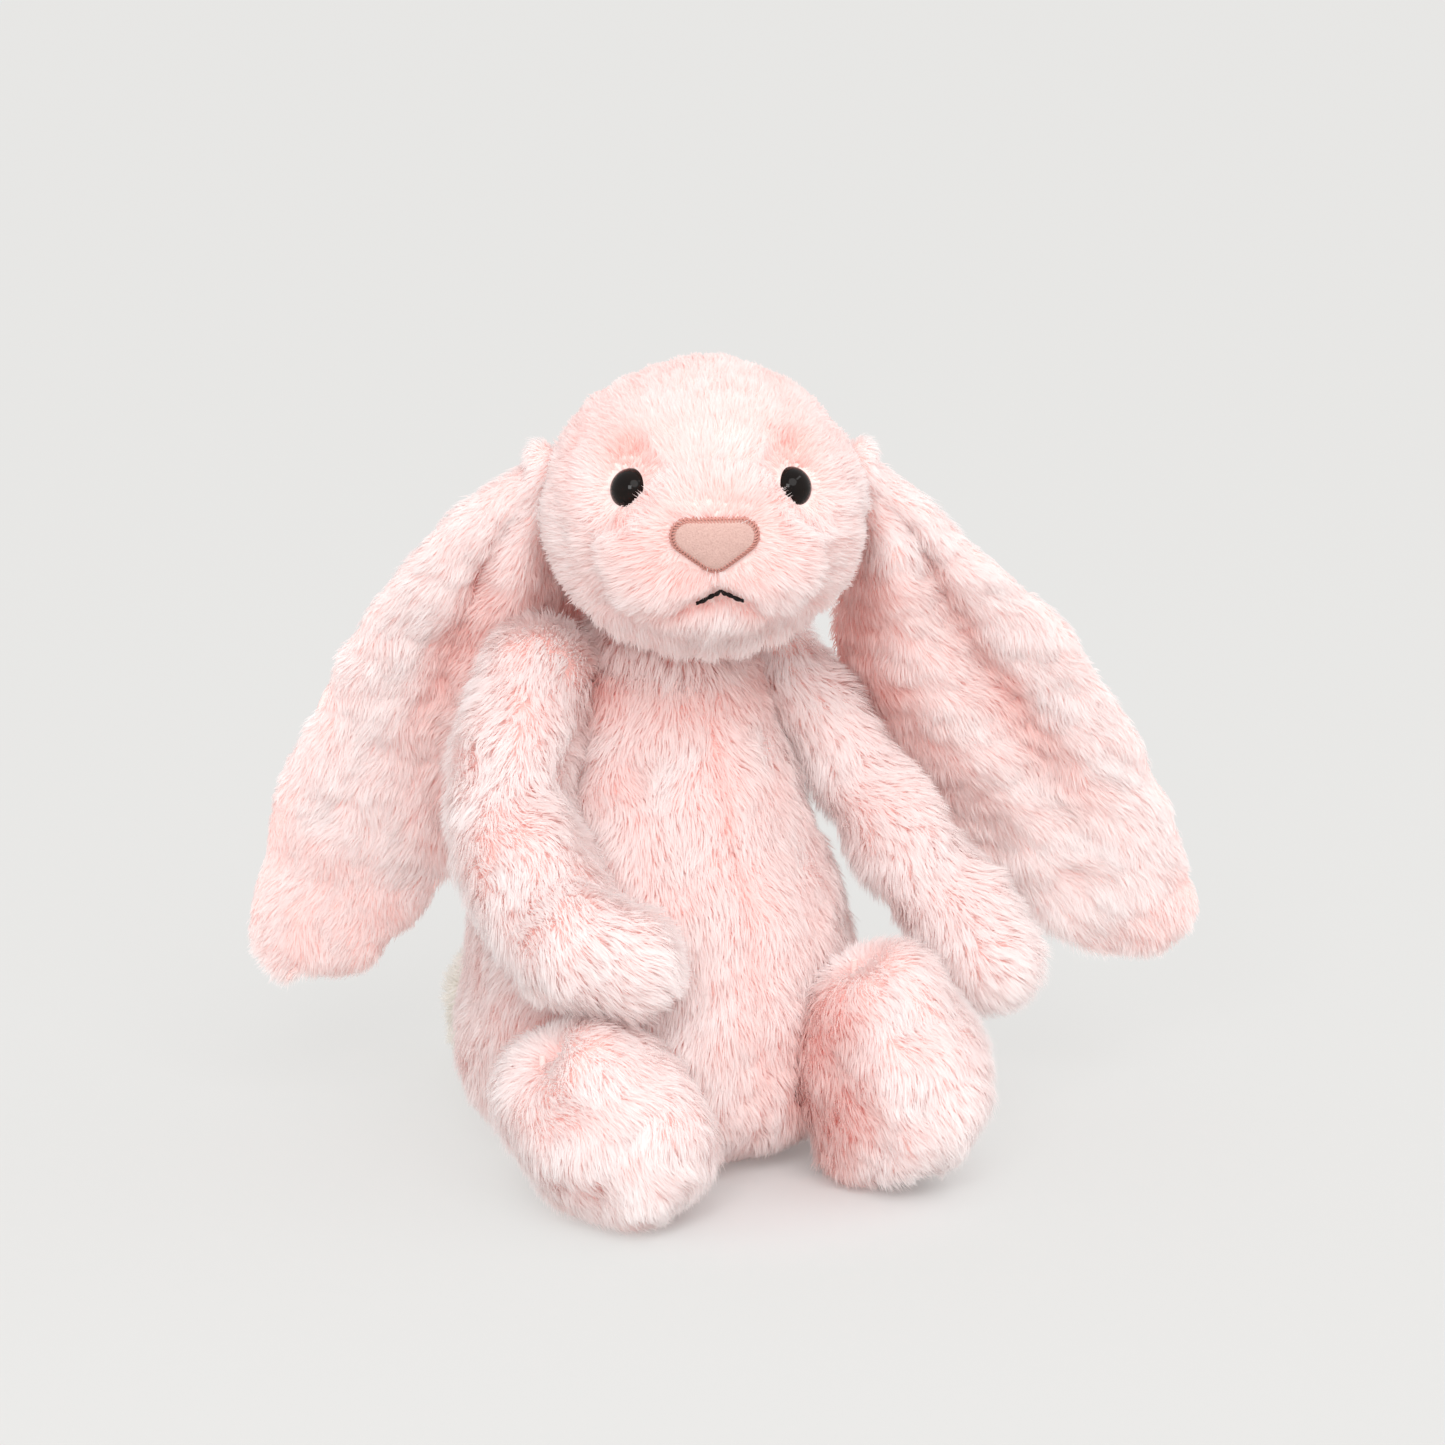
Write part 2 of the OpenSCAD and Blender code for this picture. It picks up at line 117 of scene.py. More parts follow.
def add_stage():
    """A white surround, a floor and the lights."""
    world = bpy.data.worlds.new("studio")
    world.use_nodes = True
    background = world.node_tree.nodes["Background"]
    set_inputs(background, {"Color": (1.0, 1.0, 1.0, 1), "Strength": WORLD_STRENGTH})
    bpy.context.scene.world = world
    bpy.context.scene.view_settings.view_transform = "Standard"
    # Pale fur passes light on many times before it goes dark
    light_paths = bpy.context.scene.cycles
    light_paths.max_bounces = 20
    light_paths.diffuse_bounces = 16
    light_paths.transmission_bounces = 16
    floor = bpy.data.meshes.new("floor")
    corners = [(x * FLOOR_HALF, y * FLOOR_HALF, 0) for x, y in ((-1, -1), (1, -1), (1, 1), (-1, 1))]
    floor.from_pydata(corners, [], [(0, 1, 2, 3)])
    plane = add_object("floor", floor)
    # Most of the floor's brightness is its own, which keeps shadows light, but less so by the feet
    material, shader = new_material("floor", 1.0, 0.0)
    set_inputs(shader, {"Emission Color": (1.0, 0.992, 0.968, 1)})
    where = add_node(material, "ShaderNodeTexCoord")
    far = add_node(material, "ShaderNodeVectorMath", operation="DISTANCE")
    set_inputs(far, {1: FEET})
    link(where.outputs["Object"], far.inputs[0])
    for socket, near_value, far_value in FLOOR_LOOKS:
        spread = add_node(material, "ShaderNodeMapRange", interpolation_type="SMOOTHSTEP")
        set_inputs(spread, {"From Min": FLOOR_NEAR, "From Max": FLOOR_FAR})
        set_inputs(spread, {"To Min": near_value, "To Max": far_value})
        link(far.outputs["Value"], spread.inputs["Value"])
        link(spread.outputs["Result"], shader.inputs[socket])
    plane.data.materials.append(material)
    for light in LIGHTS:
        add_light(*light)


# ---- Materials ----

FUR_UV = "OFBake"
# The share of a strand's look that is light passed through it
FUR_THROUGH = 0.62
CLOTH_RELIEF = 0.0004


def set_inputs(node, values):
    for socket, value in values.items():
        node.inputs[socket].default_value = value


def new_material(name, roughness, specular):
    """A plain material, and its main shader."""
    material = bpy.data.materials.new(name)
    material.use_nodes = True
    shader = material.node_tree.nodes["Principled BSDF"]
    set_inputs(shader, {"Roughness": roughness, "Specular IOR Level": specular})
    return material, shader


def add_node(material, kind, **settings):
    node = material.node_tree.nodes.new(kind)
    for key, value in settings.items():
        setattr(node, key, value)
    return node


def link(source, target):
    source.id_data.links.new(source, target)


def ramp_node(material, stops):
    node = add_node(material, "ShaderNodeValToRGB")
    while len(node.color_ramp.elements) < len(stops):
        node.color_ramp.elements.new(0.5)
    for element, (place, colour) in zip(node.color_ramp.elements, stops):
        element.position = place
        element.color = (*colour, 1)
    return node


def mottle(material, shader, scale, stops):
    """Colours the material by noise through a ramp, and gives back the noise."""
    where = add_node(material, "ShaderNodeTexCoord")
    noise = add_node(material, "ShaderNodeTexNoise")
    set_inputs(noise, {"Scale": scale, "Detail": 3, "Roughness": 0.5})
    link(where.outputs["Object"], noise.inputs["Vector"])
    ramp = ramp_node(material, stops)
    link(noise.outputs["Fac"], ramp.inputs["Fac"])
    link(ramp.outputs["Color"], shader.inputs["Base Color"])
    return noise


def fur_material(name, plain, deeper_and_shaded):
    """Colour runs from root to tip along V, and along U from plain to a deeper colour that also carries
    painted shade in creases and hollows.
    """
    material, shader = new_material(name, 0.75, 0.12)
    set_inputs(shader, {"Sheen Weight": 0.3, "Sheen Roughness": 0.5})
    uv = add_node(material, "ShaderNodeUVMap", uv_map=FUR_UV)
    split = add_node(material, "ShaderNodeSeparateXYZ")
    link(uv.outputs["UV"], split.inputs["Vector"])
    ramps = [ramp_node(material, stops) for stops in (plain, deeper_and_shaded)]
    for node in ramps:
        link(split.outputs["Y"], node.inputs["Fac"])
    mix = add_node(material, "ShaderNodeMix", data_type="RGBA")
    link(split.outputs["X"], mix.inputs["Factor"])
    link(ramps[0].outputs["Color"], mix.inputs["A"])
    link(ramps[1].outputs["Color"], mix.inputs["B"])
    link(mix.outputs["Result"], shader.inputs["Base Color"])
    # Light passes through the fine pile
    through = add_node(material, "ShaderNodeBsdfTranslucent")
    link(mix.outputs["Result"], through.inputs["Color"])
    both = add_node(material, "ShaderNodeMixShader")
    set_inputs(both, {"Fac": FUR_THROUGH})
    link(shader.outputs["BSDF"], both.inputs[1])
    link(through.outputs["BSDF"], both.inputs[2])
    output = material.node_tree.nodes["Material Output"]
    link(both.outputs["Shader"], output.inputs["Surface"])
    return material


def cloth_material(name, low, high, scale=900, bump=0.5, roughness=0.95):
    """Fine cloth or thread, mottled between two colours."""
    material, shader = new_material(name, roughness, 0.1)
    noise = mottle(material, shader, scale, [(0.3, low), (0.7, high)])
    relief = add_node(material, "ShaderNodeBump")
    set_inputs(relief, {"Strength": bump, "Distance": CLOTH_RELIEF})
    link(noise.outputs["Fac"], relief.inputs["Height"])
    link(relief.outputs["Normal"], shader.inputs["Normal"])
    return material


def eye_material():
    """Glossy black with a warm cast."""
    material, shader = new_material("eye_gloss", 0.05, 0.14)
    mottle(material, shader, 120, [(0.35, (0.004, 0.003, 0.003)), (0.75, (0.012, 0.007, 0.005))])
    return material


def make_materials():
    pink_plain = [
        (0.0, (0.978, 0.875, 0.86)), (0.35, (0.985, 0.945, 0.939)),
        (0.8, (0.988, 0.973, 0.971)), (1.0, (0.989, 0.981, 0.98)),
    ]
    # Deeper pink for darker tufts, and as painted shade in creases, hollows and between parts
    pink_deeper_and_shaded = [
        (0.0, (0.95, 0.50, 0.44)), (0.4, (0.967, 0.68, 0.63)),
        (0.8, (0.978, 0.81, 0.78)), (1.0, (0.98, 0.86, 0.835)),
    ]
    cream_plain = [(0.0, (0.92, 0.88, 0.82)), (0.4, (0.965, 0.945, 0.91)), (1.0, (0.985, 0.975, 0.96))]
    cream_flushed = [(0.0, (0.84, 0.78, 0.70)), (0.4, (0.91, 0.87, 0.81)), (1.0, (0.96, 0.935, 0.90))]
    cloth = cloth_material
    return {
        "pink": fur_material("pink_pile", pink_plain, pink_deeper_and_shaded),
        "cream": fur_material("cream_pile", cream_plain, cream_flushed),
        "backing": cloth("pink_backing", (0.95, 0.66, 0.62), (0.97, 0.76, 0.73)),
        "cream_backing": cloth("cream_backing", (0.88, 0.84, 0.77), (0.94, 0.91, 0.85)),
        "suede": cloth("nose_suede", (0.55, 0.34, 0.30), (0.67, 0.45, 0.40), 2600, 0.7),
        "pink_thread": cloth("pink_thread", (0.50, 0.22, 0.18), (0.62, 0.31, 0.27), 3000, 0.6, 0.7),
        "tack_thread": cloth("tack_thread", (0.93, 0.68, 0.64), (0.96, 0.76, 0.73), 3000, 0.6, 0.7),
        "black_thread": cloth("black_thread", (0.006, 0.005, 0.005), (0.02, 0.016, 0.016), 3000, 0.6, 0.6),
        "wadding": cloth("wadding", (0.86, 0.86, 0.85), (0.95, 0.95, 0.94), 300, 1.0),
        "beans": cloth("bean_bag", (0.62, 0.64, 0.68), (0.74, 0.76, 0.8), 500, 1.0),
        "washer": cloth("washer_plastic", (0.86, 0.86, 0.84), (0.9, 0.9, 0.88), 200, 0.1, 0.45),
        "eye": eye_material(),
    }


# ---- Small maths ----


def unit(v):
    return v / np.maximum(np.linalg.norm(v, axis=-1, keepdims=True), 1e-9)


def ease(x, low, high):
    """0 below low, 1 above high, smooth in between."""
    t = np.clip((x - low) / (high - low), 0, 1)
    return t * t * (3 - 2 * t)


def hill(distance, radius):
    """1 at distance 0, falling off smoothly over the radius."""
    return np.exp(-((distance / radius) ** 2))


def distance_to(centre, points):
    return np.linalg.norm(points - centre, axis=1)


def tree_of(points):
    """A search tree for the nearest of the points."""
    tree = KDTree(len(points))
    for i, p in enumerate(points):
        tree.insert(p, i)
    tree.balance()
    return tree


class Waves:
    """A smooth random field in space, about -1 to 1, with features of a given size in millimetres."""

    def __init__(self, size, seed, count=10):
        rng = np.random.default_rng(seed)
        self.k = unit(rng.normal(size=(count, 3))) * (2 * math.pi / size) * rng.uniform(0.6, 1.3, (count, 1))
        self.phase = rng.uniform(0, 2 * math.pi, count)
        self.gain = 1.6 / math.sqrt(count)

    def __call__(self, p):
        return np.sin(p @ self.k.T + self.phase).sum(1) * self.gain / 1.4


def smooth(points, steps):
    """A Catmull-Rom curve through rows of values."""
    p = np.asarray(points, float)
    held = np.vstack([p[:1], p, p[-1:]])
    t = np.linspace(0, 1, steps, endpoint=False)[:, None]
    spans = []
    for a, b, c, d in zip(held[:-3], held[1:-2], held[2:-1], held[3:]):
        square = 2 * a - 5 * b + 4 * c - d
        cube = 3 * b - a - 3 * c + d
        spans.append(0.5 * (2 * b + (c - a) * t + square * t**2 + cube * t**3))
    return np.vstack([*spans, p[-1:]])


# ---- Skins: the fabric covers under the pile ----

# The skins lie this far inside the part's own surface
SKIN_INSET = 0.6
COVER_WALL = 1.2
# Points deeper than this in a socket are out of sight
SOCKET_DEEP = 2.0
LOFT_STEPS = 14
CAP_RINGS = 12
# Where the first and steepest ring of a rounded end lies, in degrees
CAP_START = 88


class Skin:
    """A closed or open grid of points: rings along a part, with a pole where an end is closed."""

    def __init__(self, rings, along, closed_start=True, closed_end=True):
        count, sides = rings.shape[:2]
        self.co = rings.reshape(-1, 3).copy()
        self.along = unit(along.reshape(-1, 3))
        self.s = np.repeat(np.linspace(0, 1, count), sides)
        self.turn = np.tile(np.arange(sides) * 2 * math.pi / sides, count)
        k = np.arange(count - 1)[:, None] * sides
        j = np.arange(sides)[None, :]
        a, b = k + j, k + (j + 1) % sides
        quads = np.stack([a, b, b + sides, a + sides], -1).reshape(-1, 4)
        self.tris = np.vstack([quads[:, [0, 1, 2]], quads[:, [0, 2, 3]]])
        self.quads = quads
        self.fans = []
        for closed, ring in ((closed_start, 0), (closed_end, count - 1)):
            if closed:
                self._pole(ring * sides + np.arange(sides), ring == 0)

    def _pole(self, ring, first):
        """Closes a ring of points with a fan round their middle."""
        pole = len(self.co)
        self.co = np.vstack([self.co, self.co[ring].mean(0)])
        self.along = np.vstack([self.along, self.along[ring].mean(0)])
        self.s = np.append(self.s, self.s[ring[0]])
        self.turn = np.append(self.turn, 0)
        after = np.roll(ring, -1)
        centre = np.full(len(ring), pole)
        fan = np.stack([centre, after, ring], -1) if first else np.stack([centre, ring, after], -1)
        self.fans.append(fan)
        self.tris = np.vstack([self.tris, fan])

    def normals(self):
        a, b, c = (self.co[self.tris[:, i]] for i in range(3))
        face = np.cross(b - a, c - a)
        out = np.zeros_like(self.co)
        for i in range(3):
            np.add.at(out, self.tris[:, i], face)
        return unit(out)

    def relax(self, times, share=0.5):
        """Evens the points out, which rounds creases a little."""
        edges = np.vstack([self.tris[:, [0, 1]], self.tris[:, [1, 2]], self.tris[:, [2, 0]]])
        degree = np.bincount(edges.ravel(), minlength=len(self.co))[:, None]
        for _ in range(times):
            total = np.zeros_like(self.co)
            np.add.at(total, edges[:, 0], self.co[edges[:, 1]])
            np.add.at(total, edges[:, 1], self.co[edges[:, 0]])
            self.co += share * (total / degree - self.co)

    def press(self, centre, radius):
        """Pushes what is inside a ball out onto it, as a socket, and tells which points lie deep in it."""
        away = self.co - centre
        distance = np.linalg.norm(away, axis=1)
        inside = distance < radius
        self.co[inside] = centre + unit(away[inside]) * radius
        return distance < radius - SOCKET_DEEP

    def mesh(self, name):
        data = bpy.data.meshes.new(name)
        faces = [face for grid in (self.quads, *self.fans) for face in grid.tolist()]
        data.from_pydata((self.co * MM).tolist(), [], faces)
        data.update()
        data.shade_smooth()
        return data


def loft(path, caps, sides):
    """A soft solid along a path of sections (centre, half width, half depth), with rounded ends."""
    p = smooth(path, LOFT_STEPS)
    centre, half = p[:, :3], p[:, 3:5] - SKIN_INSET
    along = np.vstack([centre[1] - centre[0], centre[2:] - centre[:-2], centre[-1] - centre[-2]])
    along = unit(along)
    t = np.radians(np.linspace(CAP_START, 90 / CAP_RINGS, CAP_RINGS))
    first_c = centre[0] - along[0] * (caps[0] - SKIN_INSET) * np.sin(t)[:, None]
    first_h = half[0] * np.cos(t)[:, None]
    last_c = centre[-1] + along[-1] * (caps[1] - SKIN_INSET) * np.sin(t[::-1])[:, None]
    last_h = half[-1] * np.cos(t[::-1])[:, None]
    centre = np.vstack([first_c, centre, last_c])
    half = np.vstack([first_h, half, last_h])
    along = np.vstack([np.tile(along[0], (CAP_RINGS, 1)), along, np.tile(along[-1], (CAP_RINGS, 1))])
    side = np.array([1.0, 0, 0])
    v = unit(np.cross(along, side))
    u = np.cross(v, along)
    a = np.linspace(0, 2 * math.pi, sides, endpoint=False)
    rings = (
        centre[:, None]
        + half[:, None, :1] * np.cos(a)[None, :, None] * u[:, None]
        + half[:, None, 1:] * np.sin(a)[None, :, None] * v[:, None]
    )
    skin = Skin(rings, np.repeat(along[:, None], sides, 1))
    skin.across = np.vstack([np.repeat(u, sides, 0), u[:1], u[-1:]])
    skin.front = np.vstack([np.repeat(v, sides, 0), v[:1], v[-1:]])
    return skin


def revolve(outline, sides, closed_start=True, closed_end=False):
    """A skin turned round the Z axis from rows of (radius, height)."""
    outline = np.asarray(outline, float)
    a = np.linspace(0, 2 * math.pi, sides, endpoint=False)
    around = np.stack([np.cos(a), np.sin(a)], -1)
    rings = np.zeros((len(outline), sides, 3))
    rings[:, :, :2] = outline[:, None, :1] * around[None]
    rings[:, :, 2] = outline[:, None, 1]
    return Skin(rings, np.tile(UP, (*rings.shape[:2], 1)), closed_start, closed_end)


# ---- Fur ----

# Sizes of the swirls in the comb direction and of the tufts
SWIRL_SIZE, TUFT_SIZE = 16, 7
# Degrees by which a tuft's lift differs from its neighbours'
TUFT_LIFT = 9
# The share of strands that stay short, as the underfur that fills the pile
UNDERFUR = 0.4
ROOT_DEPTH = 0.3
FLOOR_GAP = 0.25
# A strand's tip sags by this share of its length
SAG = 0.05
# Half width of a blade at its middle, as a share of that at its root
BLADE_WAIST = 0.8
TINT_WAVE, TINT_SPREAD = 0.045, 0.06
# How far a strand's shading leans from its own shape towards the cover's
SOFTEN = 0.12


class Coat:
    """How the pile lies on a skin: length, lift, comb, tint and density of the strands at each point,
    and for the whole coat the tufts' spacing, the swirl, how far strands gather in their tuft and bend
    over, and a blade's half width.
    """

    def __init__(
        self, skin, length, lift, comb, tint, density,
        clump=2.3, swirl=0.35, gather=(0.15, 0.5), bend=(22, 20), width=0.21,
    ):
        def per_point(value):
            return np.broadcast_to(np.asarray(value, float), len(skin.co)).copy()

        self.skin = skin
        self.normal = skin.normals()
        self.length = per_point(length)
        self.lift = per_point(lift)
        self.comb = comb
        self.tint = per_point(tint)
        self.density = per_point(density)
        self.clump, self.swirl, self.gather = clump, swirl, gather
        self.bend, self.width = bend, width

    def scatter(self, rng, per_mm2):
        """Random points on the skin, with the coat's values at each."""
        tris, co = self.skin.tris, self.skin.co
        a, b, c = (co[tris[:, i]] for i in range(3))
        area = 0.5 * np.linalg.norm(np.cross(b - a, c - a), axis=1)
        many = rng.poisson(area * per_mm2[tris].mean(1))
        which = np.repeat(np.arange(len(tris)), many)
        r1, r2 = np.sqrt(rng.random(len(which))), rng.random(len(which))
        w = np.stack([1 - r1, r1 * (1 - r2), r1 * r2], -1)[:, :, None]
        corner = tris[which]

        def at(values):
            values = values if values.ndim > 1 else values[:, None]
            return (values[corner] * w).sum(1)

        return {
            "co": at(co), "normal": unit(at(self.normal)), "comb": at(self.comb),
            "length": at(self.length)[:, 0], "lift": at(self.lift)[:, 0], "tint": at(self.tint)[:, 0],
        }


def arc(root, normal, comb, length, lift, bend):
    """Middle and tip of a strand that leaves at its lift and bends over towards its comb direction."""
    low, high = np.radians(lift + bend[0])[:, None], np.radians(lift - bend[1])[:, None]
    middle = root + 0.5 * length[:, None] * (normal * np.sin(low) + comb * np.cos(low))
    tip = middle + 0.5 * length[:, None] * (normal * np.sin(high) + comb * np.cos(high))
    return middle, tip


def lay(found, rng, swirl, swirl_wave, rough):
    """Normal and final comb direction of scattered points, with swirls and a little disorder."""
    normal = found["normal"]
    comb = found["comb"] - (found["comb"] * normal).sum(1, keepdims=True) * normal
    comb = unit(comb)
    side = np.cross(normal, comb)
    turn = swirl * swirl_wave(found["co"]) + rough * rng.normal(size=len(comb))
    comb = comb * np.cos(turn)[:, None] + side * np.sin(turn)[:, None]
    return normal, comb


def grow(name, coat, body, slot, material, seed, keep=None):
    """Grows one panel's pile as a mesh of tapered blades, gathered in tufts."""
    rng = np.random.default_rng(seed)
    wave = Waves(SWIRL_SIZE, seed + 101)
    tuft_wave = Waves(TUFT_SIZE, seed + 202)
    clumps = coat.scatter(rng, (coat.density > 0.05) / coat.clump**2)
    strands = coat.scatter(rng, coat.density * STRANDS)
    for found in (clumps, strands):
        if keep is not None:
            chosen = keep(found["co"])
            for key in found:
                found[key] = found[key][chosen]
    tree = tree_of(clumps["co"])
    nearest = np.array([tree.find(p)[1] for p in strands["co"]])
    c_normal, c_comb = lay(clumps, rng, coat.swirl, wave, 0.22)
    c_length = clumps["length"] * rng.uniform(0.85, 1.12, len(c_normal))
    c_lift = clumps["lift"] + TUFT_LIFT * tuft_wave(clumps["co"]) + rng.normal(0, 5, len(c_normal))
    c_middle, c_tip = arc(clumps["co"], c_normal, c_comb, c_length, c_lift, coat.bend)
    normal, comb = lay(strands, rng, coat.swirl, wave, 0.2)
    many = len(normal)
    short = rng.random(many) < UNDERFUR
    share = np.where(short, rng.uniform(0.45, 0.75, many), rng.uniform(0.85, 1.08, many))
    length = strands["length"] * share
    lift = strands["lift"] + TUFT_LIFT * tuft_wave(strands["co"]) + rng.normal(0, 6, many)
    root = strands["co"] - normal * ROOT_DEPTH
    middle, tip = arc(root, normal, comb, length, lift, coat.bend)
    pull = rng.uniform(*coat.gather, (many, 1))
    middle += 0.35 * pull * (c_middle[nearest] - middle)
    tip += pull * (c_tip[nearest] - tip)
    tip[:, 2] -= SAG * length
    for end in (middle, tip, root):
        end[:, 2] = np.maximum(end[:, 2], FLOOR_GAP)
    run = unit(tip - root)
    wide = unit(np.cross(run, normal))
    face = np.cross(wide, run)
    twist = rng.uniform(-0.35, 0.35, (many, 1))
    wide = wide * np.cos(twist) + face * np.sin(twist)
    width = coat.width * rng.uniform(0.75, 1.25, (many, 1)) / math.sqrt(STRANDS)
    at_root, at_middle = wide * width, wide * BLADE_WAIST * width
    points = np.stack([root - at_root, root + at_root, middle - at_middle, middle + at_middle, tip], 1)
    # Shading follows the blade, softened towards the cover's own shape
    lower, upper = (unit(np.cross(wide, unit(d))) for d in (middle - root, tip - middle))
    shade = np.stack([lower, lower, lower + upper, lower + upper, upper], 1)
    shade = unit(unit(shade) + SOFTEN * normal[:, None])
    tint = strands["tint"] + TINT_WAVE * wave(strands["co"]) + rng.normal(0, TINT_SPREAD, many)
    tint = np.clip(tint, 0.02, 0.96)
    build_blades(name, points, shade, tint, body, slot, material)


def build_blades(name, points, shade, tint, body, slot, material):
    """A piece of blades with two points at the root, two at the middle and one at the tip."""
    count = len(points)
    data = bpy.data.meshes.new(name)
    data.vertices.add(count * 5)
    data.vertices.foreach_set("co", (points * MM).astype(np.float32).ravel())
    base = (np.arange(count) * 5)[:, None]
    faces = [base + np.array(c) for c in ((0, 1, 3), (0, 3, 2), (2, 3, 4))]
    corners = np.concatenate(faces, 1).astype(np.int32)
    data.loops.add(corners.size)
    data.loops.foreach_set("vertex_index", corners.ravel())
    data.polygons.add(corners.size // 3)
    data.polygons.foreach_set("loop_start", np.arange(0, corners.size, 3, dtype=np.int32))
    data.update(calc_edges=True)
    # A blade is a sliver wide in the map, so that it has some area there
    spread = 0.004
    u = np.stack([tint, tint + spread, tint, tint + spread, tint + spread / 2], 1)
    v = np.broadcast_to(np.array([0.02, 0.02, 0.5, 0.5, 0.98]), u.shape)
    uv = np.stack([u, v], -1).reshape(-1, 2)
    layer = data.uv_layers.new(name=FUR_UV)
    layer.data.foreach_set("uv", uv[corners.ravel()].astype(np.float32).ravel())
    data.shade_smooth()
    data.normals_split_custom_set_from_vertices(shade.reshape(-1, 3))
    add_piece(name, data, material, body, slot)


def add_piece(name, data, material, body, slot, replaces=(), thick=0.0):
    """Adds a mesh as a piece that rides on a body; thick makes a closed skin into a cloth shell."""
    data.materials.append(material)
    piece = add_object(name, data)
    if thick:
        shell = piece.modifiers.new("cloth", "SOLIDIFY")
        shell.thickness = thick * MM
        shell.offset = -1
    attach(piece, body)
    if replaces:
        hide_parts(*replaces)
    return piece


def add_skin(name, skin, *rest):
    return add_piece(name, skin.mesh(name), *rest)


# ---- The parts' sizes, as in the part's own design ----

TORSO_OUTLINE = [(32, 0), (47.5, 13), (50.5, 29), (46, 60), (34.3, 90), (23, 122)]
NECK = np.array([0, -3.5, 125.0])
NECK_BALL = 18.0
RIGHT_SHOULDER, LEFT_SHOULDER = np.array([-34, 0, 124.0]), np.array([32, 0, 121.5])
RIGHT_HIP, LEFT_HIP = np.array([-46, -34, 25.0]), np.array([28, -43.5, 28.0])
# The hollows in the torso that the limbs' ball ends sit in
LIMB_SOCKETS = ((RIGHT_SHOULDER, 14.6), (LEFT_SHOULDER, 12.6), (RIGHT_HIP, 19.4), (LEFT_HIP, 19.0))
HEAD = np.array([0, -23, 167.5])
HEAD_TURN = math.radians(-26.5)
HEAD_COS, HEAD_SIN = math.cos(HEAD_TURN), math.sin(HEAD_TURN)
HEAD_PATH = [
    (0, 19, 1, 32.7, 30.2), (0, 0, 0, 38.5, 35.5), (0, -19, -1.5, 34.7, 32), (0, -32, -5, 25.4, 22),
]
RIGHT_ARM_PATH = [
    (-34, 0, 124, 12.5, 12.5), (-46, -8, 104, 12.5, 12.5), (-51, -21, 85, 13.5, 13),
    (-48, -41, 69, 14, 13.5), (-40, -52, 64.5, 12, 12),
]
LEFT_ARM_PATH = [
    (32, 0, 121.5, 10.5, 10.5), (45, -17, 98, 9.5, 9.5), (55.5, -33, 74, 10.5, 10),
    (66.5, -51, 49.5, 12, 12),
]
RIGHT_LEG_PATH = [
    (-46, -34, 25, 16.5, 16.5), (-46, -46, 23, 18.5, 25.5), (-42, -57, 20, 20.5, 22.5),
    (-39, -65.5, 16.5, 17, 18.5),
]
LEFT_LEG_PATH = [
    (28, -43.5, 28, 16.5, 16.5), (31, -54.5, 28, 18.5, 30), (34, -67.5, 23, 20, 25),
    (36, -76.5, 17, 17, 18.5),
]
EAR_ROOT = (41.3, 6, 8)
EAR_HALF_WIDTH = 25.0
RIGHT_EAR_POINTS = [(54, 12, -12), (64.5, 23, -37), (75.5, 32, -69), (85, 36, -98), (92, 37, -115)]
LEFT_EAR_POINTS = [(56.5, 12, -12), (71, 25, -40), (87.5, 36, -73), (101, 41, -102), (107, 42, -117)]
EYE = np.array([19, -31.4, 9.2])
EYE_AIM = np.array([0.55, -0.78, 0.3])
EYE_RADIUS = 5.2
TAIL = np.array([-6.8, 65, 17.5])
TAIL_RADIUS = 17.5


def turn_from_head(v):
    """Directions in the head's own frame, as directions in the part's frame."""
    c, s = HEAD_COS, HEAD_SIN
    return np.stack([c * v[..., 0] - s * v[..., 1], s * v[..., 0] + c * v[..., 1], v[..., 2]], -1)


def from_head(p):
    """Points in the head's own frame, as points in the part's frame."""
    return turn_from_head(np.asarray(p, float)) + HEAD


def to_head(p):
    """Points in the part's frame, as points in the head's own frame."""
    p = np.asarray(p, float) - HEAD
    c, s = HEAD_COS, HEAD_SIN
    return np.stack([c * p[..., 0] + s * p[..., 1], -s * p[..., 0] + c * p[..., 1], p[..., 2]], -1)


# ---- Torso ----


